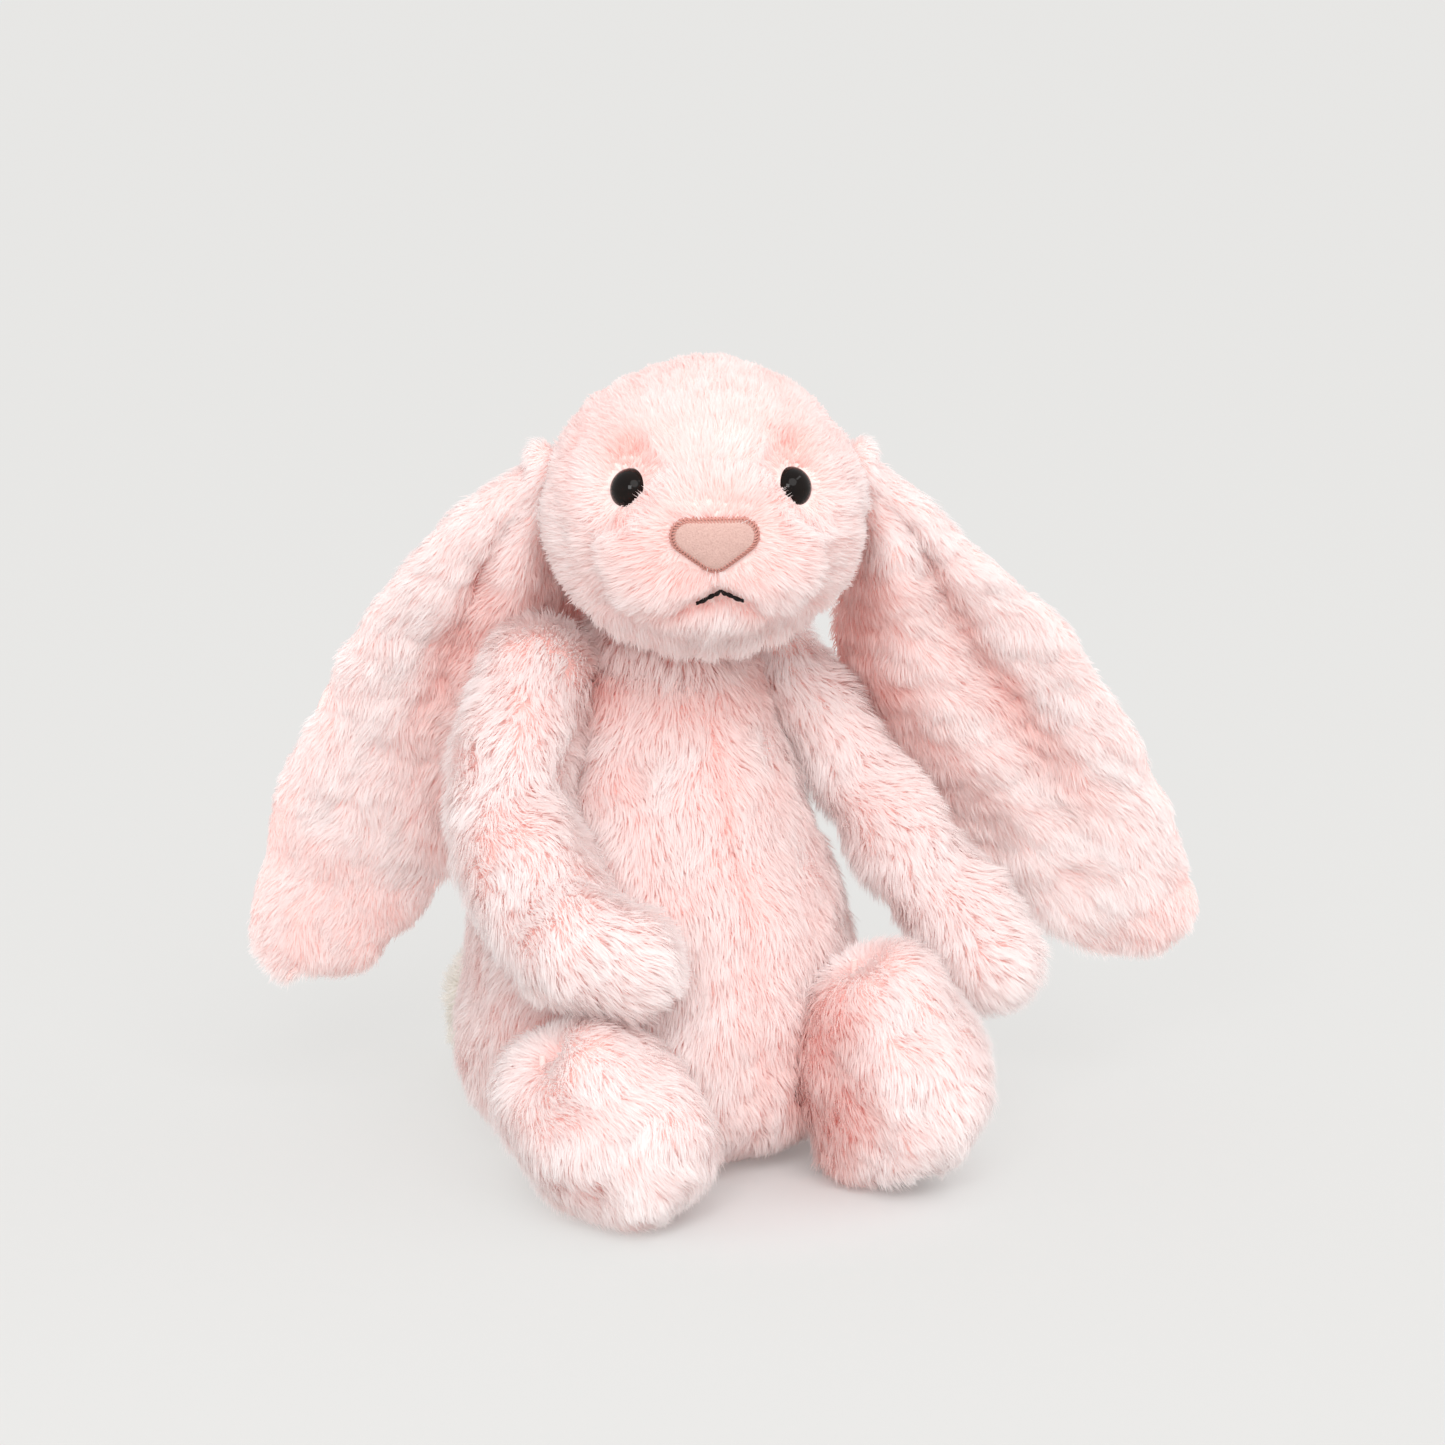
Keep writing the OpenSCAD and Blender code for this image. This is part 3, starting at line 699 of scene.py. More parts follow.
def build_torso(m):
    """The torso's cover with a socket for each limb and the tail, and its pile in four quarters."""
    outline = smooth(TORSO_OUTLINE, 12)
    outline = np.stack([outline[:, 0] - SKIN_INSET, np.maximum(outline[:, 1], 0)], -1)
    seat = [(r, 0.4) for r in np.linspace(2, TORSO_OUTLINE[0][0] - 2, 10)]
    collar = [(22.0, 123.2), (20.6, 123.4), (19.6, 122.6), (19.2, 121.0)]
    rows = np.vstack([seat, outline, collar])
    rows[:, 1] = np.maximum(rows[:, 1], 0.4)
    skin = revolve(rows, 110)
    lumps = Waves(34, SEED)
    normal = skin.normals()
    soft = ease(skin.co[:, 2], 4, 25) * (1 - ease(skin.co[:, 2], 100, 118))
    skin.co += normal * (0.9 * soft * lumps(skin.co))[:, None]
    # The seam down the front draws the cover in a little
    away = np.where(skin.co[:, 1] < 0, np.abs(skin.co[:, 0]), 99)
    skin.co -= normal * (0.9 * hill(away, 2.2) * soft)[:, None]
    sockets = np.zeros(len(skin.co), bool)
    for centre, radius in (*LIMB_SOCKETS, (TAIL, TAIL_RADIUS - 0.5)):
        sockets |= skin.press(centre, radius)
    panels = [f"torso_{a}_{b}_panel" for a in ("front", "back") for b in ("right", "left")]
    panels.append("seat_panel")
    cover = add_skin("torso_cover", skin, m["backing"], "torso", "plush_pink", panels, COVER_WALL)
    # Combed down, and a little outwards beside the seam
    down = np.tile(-UP, (len(skin.co), 1))
    down[:, 0] += 0.22 * (np.sign(skin.co[:, 0]) * hill(away, 9))
    coat = Coat(skin, 7.2, 31, down, tint=0.16, density=4.0, clump=2.2, gather=(0.1, 0.4))
    z = skin.co[:, 2]
    # Painted shade: deeper pink in the crease along the front seam
    coat.tint += 0.25 * hill(away, 1.6) * soft
    coat.length *= 1 - 0.25 * hill(away, 3)
    coat.density[sockets | (z < 1.5)] = 0
    # Painted shade under the head, deeper towards the collar
    coat.tint += 0.25 * ease(z, 108, 120)
    # Painted shade where the limbs meet the torso
    for centre, radius in LIMB_SOCKETS:
        coat.tint += 0.55 * hill(distance_to(centre, skin.co) - radius, 4)
    coat.length *= 0.45 + 0.55 * ease(z, 0, 12)
    quarters = {
        "front_right": lambda p: (p[:, 0] < 0) & (p[:, 1] < 0),
        "front_left": lambda p: (p[:, 0] >= 0) & (p[:, 1] < 0),
        "back_right": lambda p: (p[:, 0] < 0) & (p[:, 1] >= 0),
        "back_left": lambda p: (p[:, 0] >= 0) & (p[:, 1] >= 0),
    }
    for i, (name, keep) in enumerate(quarters.items()):
        grow(f"torso_fur_{name}", coat, "torso", "plush_pink", m["pink"], SEED + 10 + i, keep)


def build_neck(m):
    """Pile over the short neck between the torso's collar and the head."""
    polar = np.linspace(math.radians(104), math.radians(20), 22)
    rows = np.stack([np.sin(polar), np.cos(polar)], -1) * (NECK_BALL + 0.25)
    skin = revolve(rows, 72, closed_start=False)
    skin.co += NECK
    coat = Coat(skin, 8.0, 44, np.tile(-UP, (len(skin.co), 1)), tint=0.25, density=4.5)
    # None where the head sits on it
    coat.density[distance_to(HEAD, skin.co) < 35] = 0
    grow("neck_fur", coat, "neck", "plush_pink", m["pink"], SEED + 15)


def build_tail(m):
    """A small cream pom, flat where it rests on the floor."""
    polar = np.linspace(math.pi - 0.05, 0.05, 40)
    outline = np.stack([np.sin(polar), np.cos(polar)], -1) * (TAIL_RADIUS - 1.2)
    skin = revolve(outline, 56, closed_end=True)
    skin.co += Waves(14, SEED + 3)(skin.co)[:, None] * 0.6 * unit(skin.co)
    skin.co += TAIL
    skin.co[:, 2] = np.maximum(skin.co[:, 2], 0.5)
    add_skin("tail_cover_cloth", skin, m["cream_backing"], "torso", "plush_cream", ["tail_cover"], 1.0)
    out = unit(skin.co - TAIL)
    comb = np.cross(out, UP) * 0.4 - UP * 0.5 + np.array([0, 0.5, 0])
    coat = Coat(skin, 8.5, 48, comb, tint=0.1, density=3.8, clump=2.6, swirl=0.9)
    grow("tail_fur", coat, "torso", "plush_cream", m["cream"], SEED + 20)


# ---- Head ----

NOSE_CENTRE = np.array([0, -43.5, -1.5])
# Where the two mouth threads meet: its height, and its distance off the middle
MOUTH_PEAK = -14.0
MOUTH_SHIFT = 1.6
# Half width and half height of the nose patch, and how round its corners are
NOSE_HALF_WIDTH, NOSE_HALF_HEIGHT, NOSE_CORNER = 10.25, 6, 4
NOSE_STITCHES = 64
# Each ring of the patch: its share of the outline, and how far it stands off the face
NOSE_RINGS = (
    (1.0, 0.2), (0.995, 0.9), (0.975, 1.5), (0.94, 1.95), (0.88, 2.25),
    (0.75, 2.5), (0.55, 2.7), (0.3, 2.8), (0.08, 2.82),
)


def seam_distance(p):
    """Height above the chin seam, which drops from the mouth's peak and levels out over the cheeks."""
    x = np.abs(p[:, 0] - MOUTH_SHIFT)
    return p[:, 2] - (MOUTH_PEAK - 3.4 * ease(x, 0, 8) - 2.4 * ease(x, 6, 22))


def head_skin():
    """The head's skin in its own frame: eye sockets, brows, cheeks, muzzle and chin seam."""
    skin = loft(HEAD_PATH, (15, 12), 88)
    co = skin.co
    normal = skin.normals()
    push = 0.4 * Waves(26, SEED + 5)(co) * (1 - ease(-co[:, 1], 15, 30))
    for side in (RIGHT, LEFT):
        eye = EYE * (side, 1, 1)
        push -= 2.0 * hill(distance_to(eye, co), 6.5)
        brow = eye + np.array([1.5 * side, 1.5, 7.5])
        push -= 1.3 * hill(distance_to(brow, co), 6)
        cheek = np.array([15 * side, -37, -9])
        push += 1.8 * hill(distance_to(cheek, co), 11)
    push += 1.2 * hill(distance_to(NOSE_CENTRE, co), 13)
    above = seam_distance(co)
    front = ease(-co[:, 1], 18, 32) * hill(co[:, 0], 19)
    push += front * (0.8 * hill(above - 4, 4) - 2.0 * hill(above + 1, 2.4) - 1.2 * hill(above + 6, 6))
    skin.co = co + normal * push[:, None]
    return skin


def face_surface(skin):
    """Depth of the head's front at (x, z), as the nearest skin points' weighted mean."""
    front = skin.co[skin.co[:, 1] < -10]
    tree = tree_of(front * (1, 0, 1))

    def depth(x, z):
        found = tree.find_n((x, 0, z), 6)
        w = np.array([1 / (d * d + 0.05) for _, _, d in found])
        y = np.array([front[i][1] for _, i, _ in found])
        return float((w * y).sum() / w.sum())

    return depth


def build_head(m):
    """The head's cover, its pile in three panels, and the face."""
    skin = head_skin()
    depth = face_surface(skin)
    local = skin.co.copy()
    skin.co = from_head(local)
    neck_inside = skin.press(NECK, NECK_BALL + 1.2)
    panels = [f"head_{a}_panel" for a in ("right", "left", "chin")]
    cover = add_skin("head_cover", skin, m["backing"], "head", "plush_pink", panels, COVER_WALL)
    # Combed away from the nose, and down under the chin
    comb = unit(local - NOSE_CENTRE)
    above = seam_distance(local)
    facing = ease(-local[:, 1], 12, 30)
    chin = (1 - ease(above, -2.5, 0.5)) * ease(-local[:, 1], 5, 20)
    comb = comb * (1 - chin)[:, None] + chin[:, None] * np.array([0, 0.15, -1.0])
    crown = ease(local[:, 2], 8, 22)
    length = 6.4 - 1.8 * crown
    lift = 25.0 - 6 * crown
    tint = 0.12 + 0.08 * crown
    density = np.full(len(local), 4.8)
    # Short and laid back round the eyes, and above each a raised darker tuft as painted shade in the brow's
    # dimple
    for side in (RIGHT, LEFT):
        eye = EYE * (side, 1, 1)
        gap = distance_to(eye, local)
        away = unit(local - eye)
        near = (1 - ease(gap, 7.5, 14))[:, None]
        comb = comb * (1 - near) + away * near
        length *= 1 - 0.62 * hill(gap, 8)
        lift -= 9 * hill(gap, 8)
        density[gap < 5.5] = 0
        brow = eye + np.array([1.0 * side, 1.5, 9])
        streak = hill(np.linalg.norm((local - brow) * (1, 1, 0.8), axis=1), 5.5)
        tint += 0.6 * streak
        lift += 6 * streak
    # Distance from the nose's middle, with 1 near the patch's rim
    nose = np.hypot(local[:, 0] / 11.8, (local[:, 2] + 1.2) / 7.6)
    density[(nose < 0.84) & (local[:, 1] < -30)] = 0
    rim = hill(nose - 1.05, 0.35) * (local[:, 1] < -30)
    length *= 1 - 0.4 * rim
    tint += 0.15 * rim
    ring = hill(np.abs(nose - 1.7), 0.6) * (local[:, 1] < -20)
    tint += 0.15 * ring * (0.5 + 0.5 * Waves(6, SEED + 9)(local))
    # Painted shade in the crease along the chin seam, under the muzzle
    seam = hill(above + 1.0, 1.5) * facing * hill(local[:, 0], 20)
    tint += 0.3 * seam
    # The pile is parted and short along the mouth
    mouth = facing * ease(10 - np.abs(local[:, 0] - MOUTH_SHIFT), 1, 4)
    length *= 1 - 0.62 * mouth * hill(above - 2.2, 3.2)
    lift -= 8 * mouth * hill(above - 2, 4)
    density[(np.abs(above + 0.3) < 0.8) & (mouth > 0.9)] = 0
    density[neck_inside] = 0
    comb = turn_from_head(comb)
    coat = Coat(skin, length, lift, comb, tint, density, 1.8, 0.16, (0.1, 0.4), (18, 16), 0.17)
    parts = {
        "right": lambda q: (q[:, 0] < 0) & (seam_distance(q) > -1),
        "left": lambda q: (q[:, 0] >= 0) & (seam_distance(q) > -1),
        "chin": lambda q: seam_distance(q) <= -1,
    }
    for i, (name, keep) in enumerate(parts.items()):
        seed = SEED + 30 + i
        grow(f"head_fur_{name}", coat, "head", "plush_pink", m["pink"], seed, lambda p: keep(to_head(p)))
    build_nose(m, depth)
    build_mouth(m, depth)
    for side, name in ((RIGHT, "right"), (LEFT, "left")):
        build_eye(m, side, name)


def nose_outline(count, grow_by=0.0):
    """A soft triangle with its point down, as rows of (x, z)."""
    half, top, corner = NOSE_HALF_WIDTH - NOSE_CORNER, NOSE_HALF_HEIGHT - NOSE_CORNER, NOSE_CORNER + grow_by
    centres = np.array([(half, top), (-half, top), (0, -top - 0.5)]) + (0, -1.5)
    a = np.linspace(0, 2 * math.pi, 720, endpoint=False)
    direction = np.stack([np.cos(a), np.sin(a)], -1)
    reach = (direction @ centres.T).max(1) + corner
    # The outline as the envelope of its tangent lines
    slope = np.gradient(reach, a)
    normal = np.stack([-np.sin(a), np.cos(a)], -1)
    points = direction * reach[:, None] + normal * slope[:, None]
    step = np.linalg.norm(np.roll(points, -1, 0) - points, axis=1)
    total = np.concatenate([[0], np.cumsum(step)])
    want = np.linspace(0, total[-1], count, endpoint=False)
    closed = np.vstack([points, points[:1]])
    return np.stack([np.interp(want, total, closed[:, i]) for i in range(2)], -1)


def build_nose(m, depth):
    """A padded suede patch with whip stitches round it."""
    rim = nose_outline(72)
    centre = np.array([0, -1.0])
    rings = []
    for share, height in NOSE_RINGS:
        flat = centre + (rim - centre) * share
        rings.append([(x, depth(x, z) - height, z) for x, z in flat])
    rings = np.array(rings)
    skin = Skin(rings, np.tile(UP, (*rings.shape[:2], 1)), False, True)
    skin.relax(1, 0.3)
    skin.co = from_head(skin.co)
    add_skin("nose_pad", skin, m["suede"], "head", "nose_suede", ["nose_patch"])
    # Each stitch slants over the rim to the next one's place, and a cord runs under them
    edge = nose_outline(NOSE_STITCHES, 0.1)
    inner = nose_outline(NOSE_STITCHES, -0.9)
    outer = nose_outline(NOSE_STITCHES, 0.45)
    threads = []
    for i in range(NOSE_STITCHES):
        a, b = inner[i], outer[(i + 1) % NOSE_STITCHES]
        over = zip((a, (a + b) / 2, b), (2.05, 1.9, 0.6))
        threads.append(from_head([(q[0], depth(*q) - height, q[1]) for q, height in over]))
    cord = [(x, depth(x, z) - 1.5, z) for x, z in edge]
    threads.append(from_head(cord + cord[:1]))
    data = thread_mesh("nose_stitches", threads, 0.24)
    add_piece("nose_stitches", data, m["pink_thread"], "head", "pink_thread", ["nose_stitching"])


def thread_mesh(name, paths, radius, sides=7):
    """Round threads along the given paths, in one mesh."""
    verts, faces = [], []
    for path in paths:
        p = smooth(np.asarray(path), 4)
        along = unit(np.gradient(p, axis=0))
        side = unit(np.cross(along, np.array([0.31, 0.12, 0.94])))
        up = np.cross(side, along)
        place = np.arange(len(p))
        taper = np.sqrt(np.clip(np.minimum(place + 0.6, len(p) - 0.4 - place) / 1.6, 0, 1))
        start = len(verts)
        for i, c in enumerate(p):
            for k in range(sides):
                a = 2 * math.pi * k / sides
                verts.append(c + radius * taper[i] * (math.cos(a) * side[i] + math.sin(a) * up[i]))
        for i in range(len(p) - 1):
            for k in range(sides):
                a, b = start + i * sides + k, start + i * sides + (k + 1) % sides
                faces.append((a, a + sides, b + sides, b))
        faces.append(tuple(start + k for k in range(sides)))
        faces.append(tuple(start + (len(p) - 1) * sides + k for k in reversed(range(sides))))
    data = bpy.data.meshes.new(name)
    data.from_pydata((np.array(verts) * MM).tolist(), [], faces)
    data.update()
    data.shade_smooth()
    return data


def build_mouth(m, depth):
    """Two twisted threads that part from a point under the nose."""
    for side, name in ((RIGHT, "right"), (LEFT, "left")):
        lean = 0.35 * side
        flat = [(0.1, -13.3), (0.8, -13.9), (2.2, -14.8), (3.9, -15.8), (5.6, -16.6)]
        flat = [(MOUTH_SHIFT + x * side, z + lean * x / 5.6) for x, z in flat]
        strands = []
        for k in range(2):
            path = []
            for i, (x, z) in enumerate(flat):
                swing = 0.22 * math.cos(math.pi * (i + k))
                path.append((x, depth(x, z) - 2.9 + 0.1 * abs(x - MOUTH_SHIFT) + swing, z + swing))
            strands.append(from_head(path))
        data = thread_mesh(f"mouth_thread_{name}", strands, 0.36)
        stitch = [f"mouth_stitch_{name}"]
        add_piece(f"mouth_thread_{name}", data, m["black_thread"], "head", "black_thread", stitch)


def build_eye(m, side, name):
    """A domed safety eye with a thin rim, turned on a lathe, on its post."""
    polar = np.linspace(0.03, 1.52, 26)
    dome = [(EYE_RADIUS * math.sin(a), EYE_RADIUS * math.cos(a)) for a in polar]
    rim = [(5.3, 0.1), (5.35, -0.25), (5.2, -0.7), (4.6, -1.2)]
    post = [(2.2, -1.4), (1.6, -1.8), (1.55, -5), (1.5, -10), (0.6, -10.4)]
    skin = revolve((dome + rim + post)[::-1], 48, closed_end=True)
    z = unit(EYE_AIM * (side, 1, 1))
    x = unit(np.cross(UP, z))
    y = np.cross(z, x)
    local = skin.co @ np.stack([x, y, z])
    skin.co = from_head(local + EYE * (side, 1, 1) - z * 0.3)
    add_skin(f"eye_dome_{name}", skin, m["eye"], "head", "eye_black", [f"eye_{name}"])


# ---- Ears ----


# Half width of the ear's root, and half width and half thickness at each of its points
EAR_HALF_WIDTHS = (9.5, 0.82 * EAR_HALF_WIDTH, EAR_HALF_WIDTH, 0.93 * EAR_HALF_WIDTH, 0.74 * EAR_HALF_WIDTH)
EAR_HALF_LAYERS = (5.5, 4.5, 4, 4, 4)
EAR_ROOT_HALF = 7
# The ears keep this far clear of the arms
EAR_ARM_GAP = 4.0


def build_ear(m, side, name, points, arm_path):
    """A soft drooping ear: its folds and outline, its cover and its pile in front and behind."""
    path = [(side * EAR_ROOT[0], EAR_ROOT[1], EAR_ROOT[2], EAR_ROOT_HALF, EAR_ROOT_HALF)]
    sections = zip(points, EAR_HALF_WIDTHS, EAR_HALF_LAYERS)
    path += [(side * p[0], p[1], p[2], width, layer) for p, width, layer in sections]
    skin = loft(path, (EAR_ROOT_HALF, 13.5), 96)
    # How far towards the head's side a point lies across the ear, from -1 to 1
    inward = -side * np.cos(skin.turn)
    faces_front = ease(np.sin(skin.turn), -0.3, 0.3)
    s = skin.s
    look = EAR_LOOKS[name]
    outward = skin.across * side
    # A rolled strip in front, a valley beside it, and a flap that tucks in behind the cheek
    ridge, valley = look["ridge"](s), look["valley"](s)
    fold = ease(s, 0.14, 0.3) * (1 - ease(s, *look["fold_end"]))
    strip = 6.0 * hill(inward - ridge, 0.24) - 5.0 * hill(inward - valley, 0.26) * (1 - 0.3 * ridge)
    flap_at, flap_end, reach = look["flap"]
    flap = hill(s - flap_at, np.where(s < flap_at, 0.15, flap_end))
    skin.co += skin.front * (fold * strip - 7.0 * flap * ease(inward, 0.5, 1.0))[:, None]
    skin.co -= outward * (reach * flap * ease(inward, 0.3, 1.0))[:, None]
    # Outline: drawn in at the root, spread at the end, with the lowest third folded under a little
    outline = look["shoulder"][1] * hill(s - 0.28, 0.08) - look["shoulder"][0] * hill(s - 0.14, 0.065)
    skin.co += outward * (outline * ease(-inward, 0, 1))[:, None]
    spread = look["spread"][0] * ease(s, 0.5, 0.75) + look["spread"][1] * ease(s, 0.72, 1.0)
    skin.co += outward * spread[:, None]
    skin.co[:, 2] -= look["drop"] * ease(s, 0.75, 1.0) * ease(-inward, -1, 0.8)
    skin.co[:, 2] -= look["fall"] * ease(s, 0.7, 1.0) * ease(inward, -0.6, 1.0)
    hem = look["hem"] + 0.05 * inward
    bend = 0.9 * hill(s - hem + 0.05, 0.07) - 1.2 * ease(s, hem - 0.03, hem + 0.1)
    skin.co += skin.front * bend[:, None]
    skin.co += skin.normals() * (0.6 * Waves(20, SEED + 60 + side)(skin.co) * ease(s, 0.2, 0.4))[:, None]
    skin.relax(2, 0.4)
    skin.co = from_head(skin.co)
    # The ear gives way behind the arm
    for *centre, half_width, _ in smooth(arm_path, 6):
        skin.press(np.array(centre), half_width + EAR_ARM_GAP)
    along = turn_from_head(skin.along)
    ear = f"ear_{name}"
    layers = [f"{ear}_front", f"{ear}_back"]
    cover = add_skin(f"{ear}_cover", skin, m["backing"], ear, "plush_pink", layers, 0.9)
    edge = np.abs(np.cos(skin.turn)) ** 6 * ease(s, 0.15, 0.3)
    outer_edge = edge * ease(-inward, 0, 1)
    below = ease(s, hem - 0.01, hem + 0.05)
    length = (6.6 - 2.6 * outer_edge - 1.2 * below) * (0.7 + 0.3 * ease(s, 0.12, 0.3))
    # Painted shade: deeper pink in the valley, below the hem where the end turns under, on the tucked flap
    # and along the inner side next to the arm
    shade = fold * hill(inward - valley, 0.24) * faces_front * ease(s, 0.2, 0.3)
    tint = 0.03 + 0.62 * shade + 0.14 * below + 0.6 * flap * ease(inward, 0.45, 0.85)
    inner_shade = ease(inward, -0.2, 0.7) * ease(s, 0.25, 0.4) * (1 - ease(s, 0.58, 0.72))
    tint += look["inner_shade"] * inner_shade * faces_front
    comb = along + (0.3 * (1 - edge) * (1 - below))[:, None] * turn_from_head(outward)
    coat = Coat(skin, length, 22 - 6 * edge - 3 * below, comb, tint, 4.2, 2.2, 0.3, (0.1, 0.4), (16, 16), 0.2)

    tree = tree_of(skin.co)
    in_front = np.sin(skin.turn) >= 0

    def front(p):
        """Which points belong to the ear's front, as the nearest cover points have it."""
        return np.array([in_front[tree.find(q)[1]] for q in p])

    base = SEED + 70 + 4 * side
    grow(f"{ear}_fur_front", coat, ear, "plush_pink", m["pink"], base, front)
    grow(f"{ear}_fur_back", coat, ear, "plush_pink", m["pink"], base + 1, lambda p: ~front(p))


# Each ear's own shape. Places across it run from -1 at its outer edge to 1, along it from 0 at the root to 1.
# ridge, valley: the rolled strip and the valley beside it; fold_end: where both die out
# flap: the inner flap's place along the ear, how far it runs on, and its reach inwards
# shoulder, spread: how far the outline is drawn in and let out by the root, and let out further down
# drop, fall: how much lower the end's outer and inner sides hang
# hem: where the end folds under; inner_shade: how much painted shade falls on the inner side by the arm
EAR_LOOKS = {
    "right": {
        "ridge": lambda s: 0.62 - 0.25 * s,
        "valley": lambda s: 0.24 - 0.5 * (s - 0.3),
        "fold_end": (0.4, 0.62),
        "flap": (0.37, 0.19, 19.0),
        "shoulder": (5.0, 3.0),
        "spread": (3.4, 4.6),
        "drop": 8.0,
        "fall": 3.0,
        "hem": 0.68,
        "inner_shade": 0.32,
    },
    "left": {
        "ridge": lambda s: 0.62 - 0.5 * (s - 0.25),
        "valley": lambda s: 0.16 - 0.9 * (s - 0.3),
        "fold_end": (0.5, 0.72),
        "flap": (0.38, 0.2, 17.0),
        "shoulder": (5.5, -2.2),
        "spread": (3.2, 7.6),
        "drop": 2.5,
        "fall": 1.2,
        "hem": 0.84,
        "inner_shade": 0.08,
    },
}


# ---- Limbs ----


# The hand and the toe end are rounded over this length
LIMB_END = 11
# The feet's stuffing lies this far inside the cover, and this high above the floor
STUFFING_INSET, STUFFING_FLOOR = 3.2, 4.0


def build_arm(m, name, path, seed):
    """A stuffed arm whose first section is the ball end in the shoulder."""
    skin = loft(path, (path[0][3], LIMB_END), 60)
    lumps = Waves(22, seed)
    skin.co += skin.normals() * (0.7 * lumps(skin.co) * ease(skin.s, 0.15, 0.35))[:, None]
    arm = f"arm_{name}"
    nodes = [f"{arm}_cover"]
    cover = add_skin(f"{arm}_cover_cloth", skin, m["backing"], arm, "plush_pink", nodes, COVER_WALL)
    hand = ease(skin.s, 0.72, 0.95)
    length = 7.6 + 0.6 * hand
    comb = skin.along + 0.15 * np.cross(skin.along, skin.normals())
    # Painted shade where the arm lies against the torso
    hidden = ease(-np.sign(path[0][0]) * skin.normals()[:, 0], 0.35, 0.8)
    tint = 0.04 + 0.3 * hidden * (1 - ease(skin.s, 0.15, 0.4))
    coat = Coat(skin, length, 44 + 6 * hand, comb, tint, 4.6, 2.5, 0.5, (0.15, 0.5), (16, 18), 0.19)
    grow(f"{arm}_fur", coat, arm, "plush_pink", m["pink"], seed)


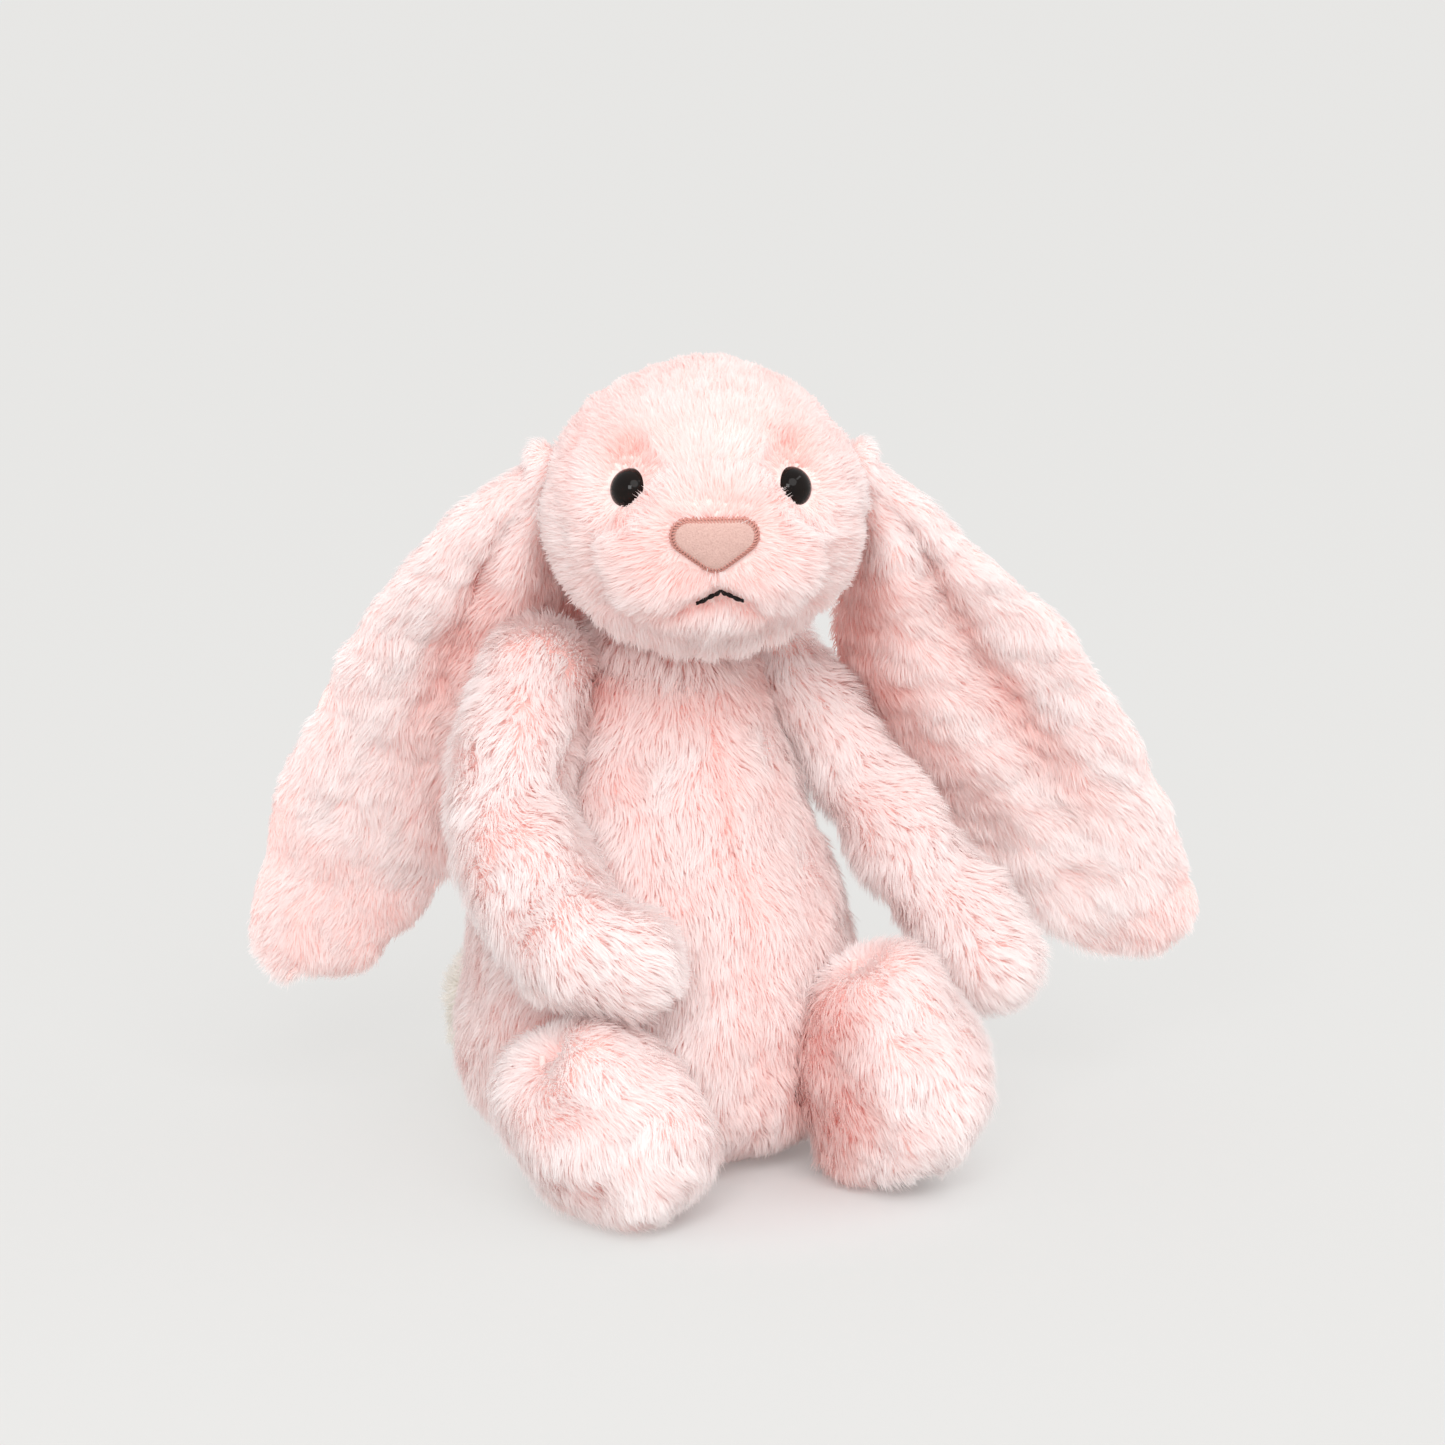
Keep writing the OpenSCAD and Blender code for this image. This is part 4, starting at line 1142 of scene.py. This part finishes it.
def build_leg(m, name, path, look, seed):
    """A stuffed leg with its ankle tacked down, and its ball end in the hip."""
    skin = loft(path, (path[0][3], LIMB_END), 84)
    section = path[1]
    shift = look["tack"]
    top = section[2] + section[4] * math.sqrt(1 - (shift / section[3]) ** 2)
    tack = np.array([section[0] + shift, section[1] - 1.5, top])
    normal = skin.normals()
    gap = distance_to(tack, skin.co)
    push = -4.5 * hill(gap, 5.5) + 1.2 * hill(gap - 13, 6)
    push += 0.7 * Waves(22, seed)(skin.co) * ease(skin.s, 0.2, 0.4)
    push -= 1.5 * (1 - ease(skin.co[:, 2], 2, 16))
    skin.co += normal * push[:, None]
    # A crease beside the foot's middle, the outer side drawn in, and the inner side let down to the floor
    x, _, z = skin.co.T.copy()
    across = (x - section[0]) * look["outer"]
    crease = -2.0 * look["crease"] * hill(x - 25, 2.6) * ease(z, 20, 30) * ease(-normal[:, 1], 0, 0.4)
    skin.co += normal * crease[:, None]
    skin.co[:, 0] -= look["outer"] * look["trim"] * ease(across, 2, 17) * (1 - ease(z, *look["trim_to"]))
    skin.co[:, 2] -= 6.0 * look["crease"] * ease(-across, 2, 12) * (1 - ease(z, 8, 26))
    skin.co[:, 2] += look["toe"][1] * ease(-skin.co[:, 1] - look["toe"][0], 0, 14) * (1 - ease(z, 4, 22))
    skin.co[:, 2] = np.maximum(skin.co[:, 2], 0.45)
    leg = f"leg_{name}"
    nodes = [f"{leg}_cover", f"sole_{name}"]
    cover = add_skin(f"{leg}_cover_cloth", skin, m["backing"], leg, "plush_pink", nodes, COVER_WALL)
    stuffing = skin.mesh(f"{leg}_stuffing")
    inner = skin.co - skin.normals() * STUFFING_INSET
    inner[:, 2] = np.maximum(inner[:, 2], STUFFING_FLOOR)
    stuffing.vertices.foreach_set("co", (inner * MM).astype(np.float32).ravel())
    stuffing.update()
    add_piece(f"{leg}_stuffing", stuffing, m["wadding"], leg, "wadding", [f"{leg}_filling"])
    inner_side = look["crease"] * ease(20 - skin.co[:, 0], -1, 6)
    z = skin.co[:, 2]
    away = unit(skin.co - tack)
    near = hill(gap, 20)[:, None]
    comb = (skin.along * 0.8 - 0.5 * UP) * (1 - near) + away * near
    sole = 1 - ease(z, 1.5, 7)
    length = 6.8 - 2.6 * sole - 1.5 * hill(gap, 4)
    # Painted shade: deeper pink on the sole by the floor, in the tack's dimple and on the creased foot's
    # inner side
    tint = 0.04 + 0.4 * sole + 0.3 * hill(gap, 3) + 0.42 * inner_side
    coat = Coat(skin, length, 33 - 10 * sole, comb, tint, 4.6, 2.3, 0.35, (0.12, 0.45), (16, 18), 0.19)
    coat.density[z < 0.8] = 0
    grow(f"{leg}_fur", coat, leg, "plush_pink", m["pink"], seed)


# Each leg's own shape. tack: the ankle tack's distance off the middle; outer: the sign of X outwards
# trim, trim_to: how far the outer side is drawn in, and the heights where that dies out
# crease: whether the foot is creased and gets painted shade on its inner side; toe: how far forward its
# underside lifts, and by how much
LEG_LOOKS = {
    "right": {
        "tack": -12, "outer": RIGHT, "trim": 4.0, "trim_to": (8, 24), "crease": 0.0, "toe": (60, 0.0),
    },
    "left": {
        "tack": -6, "outer": LEFT, "trim": 8.0, "trim_to": (14, 38), "crease": 1.0, "toe": (62, 3.0),
    },
}


# ---- Inner pieces ----


# The first word found in a piece's name gives its material
INNER_LOOKS = (
    ("bean", "beans"), ("washer", "washer"), ("tack", "tack_thread"), ("neck_seam", "tack_thread"),
    ("thread", "pink_thread"), ("neck", "backing"), ("", "wadding"),
)


def dress_inner_nodes(m):
    """The inner pieces and seam threads keep the frame's own shapes and get a material each."""
    for name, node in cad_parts.items():
        if not node.hide_render:
            look = next(look for word, look in INNER_LOOKS if word in name)
            node.data.materials.clear()
            node.data.materials.append(m[look])


add_camera()
add_stage()
materials = make_materials()
build_torso(materials)
build_neck(materials)
build_tail(materials)
build_head(materials)
build_ear(materials, RIGHT, "right", RIGHT_EAR_POINTS, RIGHT_ARM_PATH)
build_ear(materials, LEFT, "left", LEFT_EAR_POINTS, LEFT_ARM_PATH)
build_arm(materials, "right", RIGHT_ARM_PATH, SEED + 90)
build_arm(materials, "left", LEFT_ARM_PATH, SEED + 91)
build_leg(materials, "right", RIGHT_LEG_PATH, LEG_LOOKS["right"], SEED + 95)
build_leg(materials, "left", LEFT_LEG_PATH, LEG_LOOKS["left"], SEED + 96)
dress_inner_nodes(materials)
